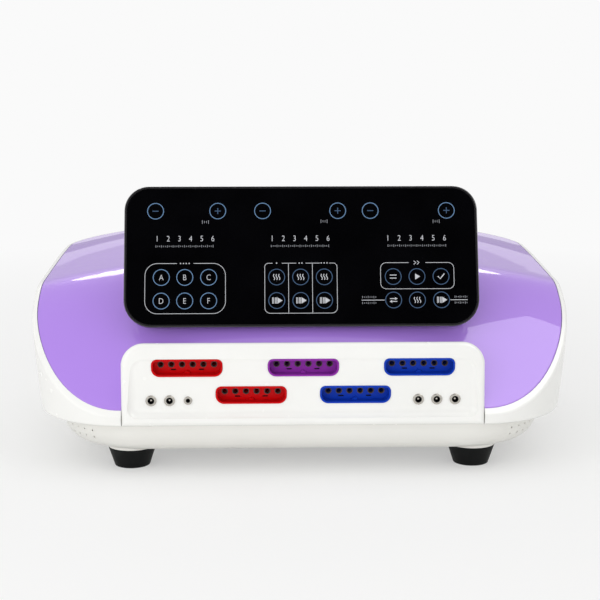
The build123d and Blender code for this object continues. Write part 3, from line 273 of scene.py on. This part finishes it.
finishes["nickel"] = metal("nickel", linear(196, 192, 184), 1.5, 0.08, 0.16, 0.3, 0.002)
finishes["zinc_steel"] = metal("zinc_steel", linear(186, 188, 190), 1.0, 0.28, 0.42, 0.4, 0.004)
finishes["pump_aluminium"] = metal("pump_aluminium", linear(196, 197, 199), 3.0, 0.4, 0.55, 0.5, 0.03)
finishes["blade_brass"] = metal("blade_brass", linear(204, 178, 112), 2.0, 0.2, 0.32, 0.4, 0.003)
finishes["board_green"] = circuit_board("board_green", linear(18, 92, 48), linear(52, 138, 74))
print("finishes so far", len(finishes))

# %% [markdown]
# ## The glass front
# The head is black-backed glass. Seen straight on it is nearly black, and at a low angle it mirrors
# the room, which the shader's own Fresnel gives. Its backing paint is a touch uneven, and wiping
# leaves faint smears: two soft patterns change only how sharp the reflection is.

# %% Glass finish
def backed_glass(name, colour):
    """Glass over uneven dark paint, with slanting smears that change only its roughness."""
    material, shader, place = new_finish(name, IOR=1.5, Specular_IOR_Level=0.3, Coat_Weight=0.0)
    vary_colour(material, shader, noise(material, place, 40.0), darker(colour, 0.6), colour)
    stretch = add_node(material, "ShaderNodeMapping",
                       {"Scale": (0.35, 1.0, 1.0), "Rotation": (0.0, 0.0, 0.5)})
    join(material, place, "Object", stretch, "Vector")
    smear = add_node(material, "ShaderNodeTexNoise", {"Scale": 28.0, "Detail": 5.0, "Roughness": 0.6})
    join(material, stretch, "Vector", smear, "Vector")
    vary_roughness(material, shader, smear, 0.03, 0.09)
    return material


finishes["head_glass"] = backed_glass("head_glass", linear(6, 6, 8))
print("finishes so far", len(finishes))

# %% [markdown]
# ## Dress the frame
# Each node comes with a named slot from the frame. Handing every slot its finish by that name dresses
# all the hard pieces in one pass, and a missing finish would show up here by name.

# %% Give every node its finish
undressed = []
for node in nodes.values():
    for slot in node.material_slots:
        name = slot.material.name.split(".")[0]
        if name in finishes:
            slot.material = finishes[name]
        else:
            undressed.append(name)
print("slots without a finish:", sorted(set(undressed)))

# %% [markdown]
# ## Printed keys: lines as ribbons of ink
# The keys are prints under the touch surface: rings, frames, digits and small signs. Screen ink is a
# real layer, a few hundredths of a millimetre thick, so each line is made as a thin ribbon that lies
# on the glass. A ribbon is a path with two edges, half the line's width to either side. All drawing
# is done flat, in millimetres: u runs to the right from the middle of the head, v runs up the glass
# from its lower edge. A drawing is its points and its faces. One function then lays any number of
# drawings on the tilted head as one piece.

# %% Ribbons, patches and their place on the glass
head_foot = np.array([0.0, -119.0, 119.4])     # lower edge of the glass, in millimetres
head_tilt = radians(19.0)
to_the_right = np.array([1.0, 0.0, 0.0])
up_the_glass = np.array([0.0, sin(head_tilt), cos(head_tilt)])
off_the_glass = np.array([0.0, -cos(head_tilt), sin(head_tilt)])
ink_height = 0.05            # of the ink's outer face over the glass, in millimetres
ink_thickness = 0.00004      # in metres, as a modifier takes it


def ribbon(path, width, closed=False):
    """Two rows of points, path + n * width / 2 and path - n * width / 2.

    n is the path's direction at each point, turned by 90 degrees.
    """
    path = np.asarray(path, float)
    if closed:
        ahead, behind = np.roll(path, -1, 0), np.roll(path, 1, 0)
    else:
        ahead, behind = np.vstack([path[1:], path[-1:]]), np.vstack([path[:1], path[:-1]])
    along = ahead - behind
    along /= np.linalg.norm(along, axis=1, keepdims=True)
    across = np.stack([-along[:, 1], along[:, 0]], 1) * width / 2
    count = len(path)
    start = np.arange(count if closed else count - 1)
    after = (start + 1) % count
    faces = np.stack([start, after, after + count, start + count], 1)[:, ::-1]
    return np.vstack([path + across, path - across]), faces.tolist()


def patch(corners):
    """A filled outline, its corners given anticlockwise."""
    return np.asarray(corners, float), [list(range(len(corners)))]


def ring(u, v, radius, width, steps=48):
    """Circle (u + r cos a, v + r sin a), drawn as a closed ribbon."""
    a = np.linspace(0, 2 * pi, steps, endpoint=False)
    return ribbon(np.stack([u + radius * np.cos(a), v + radius * np.sin(a)], 1), width, closed=True)


def merged(drawings):
    """All the drawings as one: their points in one array, their faces numbered on through it."""
    points, faces, first = [], [], 0
    for some, shapes in drawings:
        points.append(some)
        faces += [[first + k for k in face] for face in shapes]
        first += len(some)
    return np.vstack(points), faces


def new_object(name, points, faces, finish):
    """Mesh object of these points, in metres, put in the scene with its finish."""
    mesh = bpy.data.meshes.new(name)
    mesh.from_pydata(points.tolist(), [], faces)
    mesh.update()
    mesh.materials.append(finish)
    made = bpy.data.objects.new(name, mesh)
    bpy.context.scene.collection.objects.link(made)
    return made


def put_on_glass(name, drawings, finish):
    """Every drawn point (u, v) goes to head_foot + (u, 0, 0) + v up the glass + the ink's height off it."""
    flat, faces = merged(drawings)
    place = (head_foot + flat[:, :1] * to_the_right + flat[:, 1:] * up_the_glass
             + ink_height * off_the_glass) / 1000.0
    piece = new_object(name, place, faces, finish)
    ink_layer = piece.modifiers.new("ink_layer", "SOLIDIFY")
    ink_layer.thickness = ink_thickness
    ink_layer.offset = -1.0
    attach(piece, "housing")
    print(name, "points", len(flat), "faces", len(faces))

# %% [markdown]
# ## Painted shade in the jack's bore and the key slots
# The small round jack gets a black tube in its bore: painted shade that makes the hole read dark. Each
# socket's two key slots get a black strip on their floor: painted shade for the depth of the slots.

# %% Painted shade: bore tube and slot strips
def tube_along_y(x, z, y0, y1, outer, inner, steps=40):
    """Closed loop of four circles (r cos a, y, r sin a): outer at y0 and y1, then inner at y1 and y0."""
    a = np.linspace(0, 2 * pi, steps, endpoint=False)
    circles = [np.stack([x + r * np.cos(a), np.full(steps, y), z + r * np.sin(a)], 1)
               for r, y in ((outer, y0), (outer, y1), (inner, y1), (inner, y0))]
    k, i = np.meshgrid(np.arange(4), np.arange(steps), indexing="ij")
    nk, ni = (k + 1) % 4, (i + 1) % steps
    faces = np.stack([k * steps + i, nk * steps + i, nk * steps + ni, k * steps + ni], -1).reshape(-1, 4)
    return np.vstack(circles), faces[:, ::-1].tolist()


def strip_plate(x, z, y0, y1, width, height, steps=10):
    """Flat plate whose ends are half circles: two halves of a circle, moved apart by width - height."""
    a = np.linspace(-pi / 2, pi / 2, steps)
    right = np.stack([(width - height) / 2 + height / 2 * np.cos(a), height / 2 * np.sin(a)], 1)
    rim = np.vstack([right, -right])
    n = len(rim)
    front, back = [np.stack([x + rim[:, 0], np.full(n, y), z + rim[:, 1]], 1) for y in (y0, y1)]
    sides = [[k, k + n, (k + 1) % n + n, (k + 1) % n] for k in range(n)]
    return np.vstack([front, back]), [list(range(n)), list(range(2 * n - 1, n - 1, -1))] + sides


def carried(name, drawings, finish):
    """One piece of all the drawings, in millimetres, with its faces turned outwards."""
    points, faces = merged(drawings)
    piece = new_object(name, points / 1000.0, faces, finish)
    solid = bmesh.new()
    solid.from_mesh(piece.data)
    bmesh.ops.recalc_face_normals(solid, faces=solid.faces)
    solid.to_mesh(piece.data)
    solid.free()
    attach(piece, "housing")
    print(name, "points", len(points), "faces", len(faces))


# Near-black matt finish for both pieces: painted shade in the bore and the slots.
painted_shade_inside = rubber("painted_shade_inside", linear(10, 10, 11))
jack_x, jack_z = -94.4, 65.1
shade_tube_front_y, shade_tube_back_y = -153.6, -141.0
shade_tube_radius, shade_tube_bore = 1.78, 1.45
# Black tube in the jack's bore: painted shade.
carried("audio_bore_painted_shade",
        [tube_along_y(jack_x, jack_z, shade_tube_front_y, shade_tube_back_y, shade_tube_radius, shade_tube_bore)],
        painted_shade_inside)
socket_places = [(-95.0, 92.2), (0.0, 92.2), (95.0, 92.2), (-42.7, 69.4), (42.7, 69.4)]    # x, z
slot_floor_y, slot_drop, slot_shift = -142.41, 3.1, 11.42
shade_strip_front_y, shade_strip_back_y = slot_floor_y - 0.9, slot_floor_y - 0.02
shade_strip_width, shade_strip_height = 4.3, 1.14      # a little less than the slot's own
# Black strips on the floors of the key slots: painted shade.
carried("key_slot_painted_shade",
        [strip_plate(x + side * slot_shift, z - slot_drop, shade_strip_front_y, shade_strip_back_y,
                     shade_strip_width, shade_strip_height)
         for x, z in socket_places for side in (-1, 1)], painted_shade_inside)

# %% [markdown]
# ## The ink
# Key rings are steel blue, in a brighter and a fainter tone. Frames, digits and signs are a soft white,
# and the finest marks are grey. Screen ink is never quite even, so a fine speckle thins its tone, and
# it is matt beside the glass.

# %% Inks
def ink(name, colour):
    """Matt print whose tone drops by up to a fifth in a fine speckle."""
    material, shader, place = new_finish(name, Specular_IOR_Level=0.2)
    speckle = noise(material, place, 0.35, detail=2.0)
    vary_colour(material, shader, speckle, darker(colour, 0.8), colour)
    vary_roughness(material, shader, speckle, 0.45, 0.6)
    return material


ring_ink = ink("ring_ink", linear(104, 138, 176))
faint_ink = ink("faint_ink", linear(66, 92, 124))
white_ink = ink("white_ink", linear(205, 207, 212))
grey_ink = ink("grey_ink", linear(150, 152, 158))

# %% [markdown]
# ## Key rings
# All the round keys have one size. Three pairs in the top row step a value down and up, six choose a
# programme, and the others belong to the three channels and the right-hand group.

# %% Key rings
key_radius = 6.75
ring_line = 0.65
top_row_v = 99.2
step_keys = [(-123.2, -1), (-70.7, 1), (-32.8, -1), (30.9, 1), (58.5, -1), (123.3, 1)]   # u, sign
upper_v, lower_v = 42.3, 22.3
programme_us = (-118.0, -98.3, -78.3)
channel_us = (-21.2, -1.0, 18.9)
right_us = (77.0, 97.1, 117.4)


def key_rings(places):
    """A ring of the keys' size and line round every place (u, v)."""
    return [ring(u, v, key_radius, ring_line) for u, v in places]


put_on_glass("programme_rings",
             key_rings([(u, v) for u in programme_us for v in (upper_v, lower_v)]
                       + [(u, top_row_v) for u, sign in step_keys]), ring_ink)
put_on_glass("channel_rings",
             key_rings([(u, v) for u in channel_us + right_us for v in (upper_v, lower_v)]), faint_ink)

# %% [markdown]
# ## Frames with gaps
# A frame is a rounded rectangle drawn from a start to an end length along its outline, which leaves
# the gaps. The frames of the programmes and of the right-hand keys have one gap at their middle top, and
# the channels' frame has one over each of its three columns. The lines between those columns, and the
# lines beside the right-hand keys, are plain ribbons.

# %% Frames round the key groups
def outline(u0, v0, u1, v1, top_radius, bottom_radius, steps=10):
    """Rounded rectangle from its middle top, clockwise; each corner is centre + r (cos a, sin a)."""
    corners = [(u1 - top_radius, v1 - top_radius, top_radius, 90),
               (u1 - bottom_radius, v0 + bottom_radius, bottom_radius, 0),
               (u0 + bottom_radius, v0 + bottom_radius, bottom_radius, -90),
               (u0 + top_radius, v1 - top_radius, top_radius, -180)]
    points = [[((u0 + u1) / 2, v1)]]
    for u, v, radius, start in corners:
        a = np.radians(np.linspace(start, start - 90, steps))
        points.append(np.stack([u + radius * np.cos(a), v + radius * np.sin(a)], 1))
    points.append([((u0 + u1) / 2, v1)])
    return np.vstack(points)


def stretch_of(path, start, end):
    """Part of a path between two lengths along it, with the path's own corners kept."""
    runs = np.linalg.norm(np.diff(path, axis=0), axis=1)
    reach = np.concatenate([[0.0], np.cumsum(runs)])
    inside = reach[(reach > start + 0.01) & (reach < end - 0.01)]
    wanted = np.concatenate([[start], inside, [end]])
    return np.stack([np.interp(wanted, reach, path[:, 0]), np.interp(wanted, reach, path[:, 1])], 1)


def length_of(path):
    """Sum of the path's straight runs."""
    return float(np.linalg.norm(np.diff(path, axis=0), axis=1).sum())


frame_line = 0.42
arm_line = 0.5
frame_foot_v, frame_top_v = 11.5, 54.2
programme_frame = outline(-131.7, frame_foot_v, -64.2, frame_top_v, 10.3, 10.3)
channel_frame = outline(-31.2, frame_foot_v, 29.7, 54.1, 3.2, 4.6)
right_frame = outline(66.4, 31.8, 128.4, frame_top_v, 4.8, 4.8)
frame_lines = []
for path, half_gap in ((programme_frame, 7.0), (right_frame, 7.1)):
    frame_lines.append(ribbon(stretch_of(path, half_gap, length_of(path) - half_gap), frame_line))
column_gap = 3.9                               # half the gap over a column
side_run = channel_us[2] - channel_us[1]       # from one column to the next
whole = length_of(channel_frame)
for start, end in ((side_run + column_gap, whole - side_run - column_gap),
                   (column_gap, side_run - column_gap),
                   (whole - side_run + column_gap, whole - column_gap)):
    frame_lines.append(ribbon(stretch_of(channel_frame, start, end), frame_line))
for u in (-11.2, 8.9):
    frame_lines.append(ribbon([(u, 11.9), (u, 53.7)], frame_line))
for u0, u1 in ((50.1, 69.4), (124.8, 139.4)):
    frame_lines.append(ribbon([(u0, lower_v), (u1, lower_v)], arm_line))
put_on_glass("group_frames", frame_lines, white_ink)

# %% [markdown]
# ## Signs on the keys
# Signs need no words: minus and plus, play and pause bars, a swap arrow, a tick, waves for warmth and
# a small scale under the digits. Each is a few ribbons or filled patches round a middle point.

# %% Signs
def minus(u, v, half=2.6, width=0.7):
    """Level bar from (u - half, v) to (u + half, v)."""
    return [ribbon([(u - half, v), (u + half, v)], width)]


def plus(u, v, half=2.6, width=0.7):
    """A minus with an upright bar above it and one below, which meet its edges."""
    return minus(u, v, half, width) + [ribbon([(u, v + half), (u, v + width / 2)], width),
                                       ribbon([(u, v - width / 2), (u, v - half)], width)]


def play(u, v, size=2.6):
    """Triangle from 0.6 size left of (u, v) to its point size right of it, 2 size tall."""
    return [patch([(u - size * 0.6, v - size), (u + size, v), (u - size * 0.6, v + size)])]


def pause_play(u, v):
    """Four upright bars on the left and a triangle on the right."""
    bars = [ribbon([(u + shift, v - 2.6), (u + shift, v + 2.6)], 0.6) for shift in (-3.5, -2.5, -1.1, -0.2)]
    return bars + [patch([(u + 0.6, v - 2.7), (u + 4.8, v), (u + 0.6, v + 2.7)])]


def heat_waves(u, v, width=0.62):
    """Three upright waves (u + 0.55 sin(2 pi t), v + 5 (t - 0.5)) for t from 0 to 1."""
    t = np.linspace(0, 1, 17)
    wave = np.stack([0.55 * np.sin(2 * pi * t), 5.0 * (t - 0.5)], 1)
    return [ribbon(wave + (u + shift, v), width) for shift in (-2.2, 0.0, 2.2)]


def swap(u, v):
    """An arrow to the right, and the same half a turn round (u, v) below it."""
    top = [ribbon([(u - 3.0, v + 1.2), (u + 1.4, v + 1.2)], 0.7),
           patch([(u + 1.2, v - 0.1), (u + 3.4, v + 1.2), (u + 1.2, v + 2.5)])]
    low = [ribbon([(u - 1.4, v - 1.2), (u + 3.0, v - 1.2)], 0.7),
           patch([(u - 1.2, v + 0.1), (u - 3.4, v - 1.2), (u - 1.2, v - 2.5)])]
    return top + low


def tick(u, v):
    """Short stroke down to the right, then a long one up."""
    return [ribbon([(u - 2.6, v + 0.2), (u - 0.7, v - 2.0), (u + 2.9, v + 2.4)], 0.85)]


def dots(u, v, count, pitch=2.4, radius=0.55):
    """Small filled circles in a row."""
    a = np.linspace(0, 2 * pi, 14, endpoint=False)
    dot = np.stack([radius * np.cos(a), radius * np.sin(a)], 1)
    return [patch(dot + (u + (k - (count - 1) / 2) * pitch, v)) for k in range(count)]


def scale_marks(u0, u1, v, count, tall=1.5, width=0.45):
    """Upright ticks evenly spread from u0 to u1, every third one taller."""
    marks = []
    for k, u in enumerate(np.linspace(u0, u1, count)):
        half = tall / 2 * (1.35 if k % 3 == 0 else 0.8)
        marks.append(ribbon([(u, v - half), (u, v + half)], width))
    return marks


def two_channels(u, v):
    """Two level bars, one above (u, v) and one below."""
    return [ribbon([(u - 2.8, v + rise), (u + 2.8, v + rise)], 0.7) for rise in (1.3, -1.3)]


def chevrons(u, v):
    """Two open arrowheads that point to the right."""
    return [ribbon([(u + shift - 1.0, v + 1.5), (u + shift + 0.8, v), (u + shift - 1.0, v - 1.5)], 0.6)
            for shift in (-1.6, 1.2)]


step_signs = []
for u, sign in step_keys:
    step_signs += plus(u, top_row_v) if sign > 0 else minus(u, top_row_v)
put_on_glass("step_signs", step_signs, faint_ink)

signs = two_channels(right_us[0], upper_v) + play(right_us[1], upper_v) + tick(right_us[2], upper_v)
signs += swap(right_us[0], lower_v) + heat_waves(right_us[1], lower_v) + pause_play(right_us[2], lower_v)
for k, u in enumerate(channel_us):
    signs += heat_waves(u, upper_v) + pause_play(u, lower_v) + dots(u, frame_top_v, k + 1)
signs += dots(programme_us[1], frame_top_v, 4) + chevrons(97.2, frame_top_v)
put_on_glass("key_signs", signs, white_ink)

scale_v = 68.9
fine_marks = []
for u0, u1 in ((-122.7, -74.6), (-25.6, 22.9), (73.1, 122.1)):
    fine_marks += scale_marks(u0, u1, scale_v, 31)
for u, v in ((-81.1, 89.7), (19.2, 90.1), (114.4, 89.8)):
    fine_marks += scale_marks(u - 2.6, u + 2.6, v, 4, tall=2.2)
for u0, u1 in ((50.8, 62.0), (128.8, 138.8)):
    for v in (24.9, 19.9):
        fine_marks += scale_marks(u0, u1, v, 8, tall=1.4)
put_on_glass("fine_marks", fine_marks, grey_ink)

# %% [markdown]
# ## Digits and programme letters
# Digits and single letters come from Blender's own typeface. A text object is a curve, so it is made
# into a mesh, and its points are then drawn flat like every other sign.

# %% Digits and letters
capital_share = 0.7        # a capital's height as a share of the typeface's size
narrowing = 0.85
thinning = 0.012           # taken off all round, as a share of the height


def lettering(text, u, v, height):
    """The text's outline, filled, with its middle at (u, v) and its capitals height tall."""
    curve = bpy.data.curves.new("lettering", "FONT")
    curve.body = text
    curve.size = height / capital_share
    curve.offset = -thinning * height
    curve.align_x = "CENTER"
    curve.resolution_u = 3
    holder = bpy.data.objects.new("lettering", curve)
    mesh = bpy.data.meshes.new_from_object(holder)
    co = np.empty(len(mesh.vertices) * 3)
    mesh.vertices.foreach_get("co", co)
    points = co.reshape(-1, 3)[:, :2] * (narrowing, 1.0)
    middle = (points.min(0) + points.max(0)) / 2
    faces = [list(face.vertices) for face in mesh.polygons]
    bpy.data.objects.remove(holder)
    bpy.data.curves.remove(curve)
    bpy.data.meshes.remove(mesh)
    return points - middle + (u, v), faces


digit_v = 75.5
letter_height = 4.9
digit_groups = ((-121.7, -74.8), (-24.8, 22.5), (73.1, 121.2))
digits = []
for first_u, last_u in digit_groups:
    for k, u in enumerate(np.linspace(first_u, last_u, 6)):
        digits.append(lettering(str(k + 1), u, digit_v, letter_height))
programme_keys = [(u, v) for v in (upper_v, lower_v) for u in programme_us]
letters = [lettering(letter, u, v, letter_height) for letter, (u, v) in zip("ABCDEF", programme_keys)]
put_on_glass("digits", digits, white_ink)
put_on_glass("programme_letters", letters, white_ink)

# %% [markdown]
# ## Floor and light
# The stage is a plain pale floor under a bright, even sky. The sky and the lamps together are kept at
# a plain level, so that a surface renders near the colour it was given.

# %% Floor
def floor_disc(radius, rings=24, spokes=96):
    """Grid of (r cos a, r sin a, 0), r from 0 to radius, with one point at its middle."""
    r = np.linspace(0, radius, rings + 1)[1:, None]
    a = np.linspace(0, 2 * pi, spokes, endpoint=False)[None, :]
    points = np.stack([r * np.cos(a), r * np.sin(a), np.zeros((rings, spokes))], 2).reshape(-1, 3)
    k, j = np.meshgrid(np.arange(rings - 1), np.arange(spokes), indexing="ij")
    after = (j + 1) % spokes
    quads = np.stack([k * spokes + j, (k + 1) * spokes + j, (k + 1) * spokes + after, k * spokes + after], 2)
    middle = len(points)
    fan = [[middle, s, (s + 1) % spokes] for s in range(spokes)]
    return np.vstack([points, [[0.0, 0.0, 0.0]]]), quads.reshape(-1, 4).tolist() + fan


floor_radius = 9.0
floor_finish, floor_shader, floor_place = new_finish("floor_paper", Specular_IOR_Level=0.0, Roughness=0.9)
vary_colour(floor_finish, floor_shader, noise(floor_finish, floor_place, 900.0),
            linear(247, 247, 246), linear(250, 250, 249))
floor = new_object("floor", *floor_disc(floor_radius), floor_finish)
print("floor points", len(floor.data.vertices))

# %% [markdown]
# Far from the pump the paper melts into the sky. To the camera and to mirrors it turns by degrees into
# the sky's own white: two fifths of the way close to the pump, where the rest is paper with the shadow
# on it, and wholly at 1.3 m.

# %% Fade the far floor
background_white = linear(250, 250, 250)


def seen_directly(owner):
    """Output that is 1 for camera, glossy and transmission rays, which are those that show the background."""
    ray_kind = add_node(owner, "ShaderNodeLightPath")
    shows = ray_kind.outputs["Is Camera Ray"]
    for other in ("Is Glossy Ray", "Is Transmission Ray"):
        either = add_node(owner, "ShaderNodeMath", operation="MAXIMUM")
        owner.node_tree.links.new(shows, either.inputs[0])
        owner.node_tree.links.new(ray_kind.outputs[other], either.inputs[1])
        shows = either.outputs["Value"]
    return shows


def blend(owner, share, first, second, target):
    """The first shader where share is 0 and the second where it is 1, led to the target's Surface."""
    mix = add_node(owner, "ShaderNodeMixShader")
    for socket, source in enumerate((share, first, second)):
        owner.node_tree.links.new(source, mix.inputs[socket])
    join(owner, mix, "Shader", target, "Surface")


fade_start, fade_end, least_share = 0.25, 1.3, 0.4      # metres from the middle, and a share of sky white
reach = add_node(floor_finish, "ShaderNodeVectorMath", operation="LENGTH")
join(floor_finish, floor_place, "Object", reach, "Vector")
fade = add_node(floor_finish, "ShaderNodeMapRange",
                {"From Min": fade_start, "From Max": fade_end, "To Min": least_share})
join(floor_finish, reach, "Value", fade, "Value")
share = add_node(floor_finish, "ShaderNodeMath", operation="MULTIPLY")
floor_finish.node_tree.links.new(fade.outputs["Result"], share.inputs[0])
floor_finish.node_tree.links.new(seen_directly(floor_finish), share.inputs[1])
glow = add_node(floor_finish, "ShaderNodeEmission", {"Color": background_white, "Strength": 1.0})
blend(floor_finish, share.outputs["Value"], floor_shader.outputs["BSDF"], glow.outputs["Emission"],
      floor_finish.node_tree.nodes["Material Output"])
print("floor fades from", fade_start, "to", fade_end)

# %% [markdown]
# The sky gives its light evenly from all sides, and the camera and mirrors see it as plain white.
# Softboxes add direction. Each is set by a level, which fixes its light at the aim whatever its
# distance. The two at the sides light dull surfaces and show in mirrors. Two more only light dull
# surfaces, and two only show in mirrors: one draws the bright wedge under the ridge of the cover, the
# other brightens the cover's lower right side. Cards that only mirrors see keep the glass black and lay
# the darker bands over the top of the cover.

# %% Sky and softboxes
sky_level = 0.67
world = bpy.data.worlds.new("studio_sky")
bpy.context.scene.world = world
world.use_nodes = True
sky = world.node_tree.nodes["Background"]
sky.inputs["Color"].default_value = (1.0, 1.0, 1.0, 1.0)
sky.inputs["Strength"].default_value = sky_level
seen = add_node(world, "ShaderNodeBackground", {"Color": background_white, "Strength": 1.0})
blend(world, seen_directly(world), sky.outputs["Background"], seen.outputs["Background"],
      world.node_tree.nodes["World Output"])


def facing(place, aim):
    """Turn that points an object's -Z from its place at the aim, with its X kept level."""
    along = (np.array(aim, float) - place) / np.linalg.norm(np.array(aim, float) - place)
    return (np.arccos(-along[2]), 0.0, np.arctan2(-along[0], along[1]))


def softbox(name, place, aim, width, height, level, seen_by="both", shape="RECTANGLE"):
    """Area lamp whose power is level * pi^2 * distance^2, where distance is from its place to the aim."""
    place, aim = np.array(place, float), np.array(aim, float)
    lamp = bpy.data.lights.new(name, "AREA")
    lamp.shape = shape
    lamp.size, lamp.size_y = width, height
    lamp.energy = level * pi ** 2 * float(np.sum((aim - place) ** 2))
    holder = bpy.data.objects.new(name, lamp)
    holder.location = place
    holder.rotation_euler = facing(place, aim)
    holder.visible_diffuse = seen_by != "mirrors"
    holder.visible_glossy = seen_by != "dull"
    bpy.context.scene.collection.objects.link(holder)
    print(name, "power in watts", round(lamp.energy, 2))


def flag(name, place, aim, width, height, brightness):
    """Card that only mirrors see, darker than the sky: its brightness is a share of white."""
    finish = principled(name, Base_Color=linear(2, 2, 2), Roughness=1.0, Specular_IOR_Level=0.0,
                        Emission_Color=linear(255, 255, 255), Emission_Strength=brightness)[0]
    x, y = width / 2, height / 2
    corners = np.array([(-x, -y, 0.0), (x, -y, 0.0), (x, y, 0.0), (-x, y, 0.0)])
    card = new_object(name, corners, [(0, 1, 2, 3)], finish)
    card.location = place
    card.rotation_euler = facing(np.array(place, float), aim)
    for ray in ("camera", "diffuse", "transmission", "shadow"):
        setattr(card, "visible_" + ray, False)


middle = (0.0, 0.0, 0.12)
softbox("top_softbox", (0.0, 0.1, 2.2), middle, 3.2, 2.4, 0.24, "dull")
softbox("front_softbox", (-0.6, -2.0, 0.5), middle, 1.8, 0.8, 0.21, "dull")
softbox("left_softbox", (-1.5, -1.3, 1.0), middle, 0.9, 1.2, 0.10)
softbox("right_softbox", (1.5, -1.2, 0.9), middle, 0.9, 1.2, 0.05)
softbox("ridge_glint", (0.0, 1.42, 1.68), middle, 1.75, 1.05, 0.7, "mirrors", shape="ELLIPSE")
softbox("right_glint", (1.3, -0.9, 2.1), middle, 1.6, 1.5, 0.36, "mirrors")
flag("front_flag", (0.0, -1.835, 1.17), (0.0, -0.1, 0.176), 2.2, 1.3, 0.0)
flag("rear_flag", (0.0, 1.7, 0.42), (0.0, 0.0, 0.42), 3.4, 0.12, 0.45)
flag("deck_flag", (0.0, 1.75, 0.82), (0.0, 0.0, 0.82), 3.8, 0.5, 0.66)
bpy.context.scene.view_settings.view_transform = "Standard"
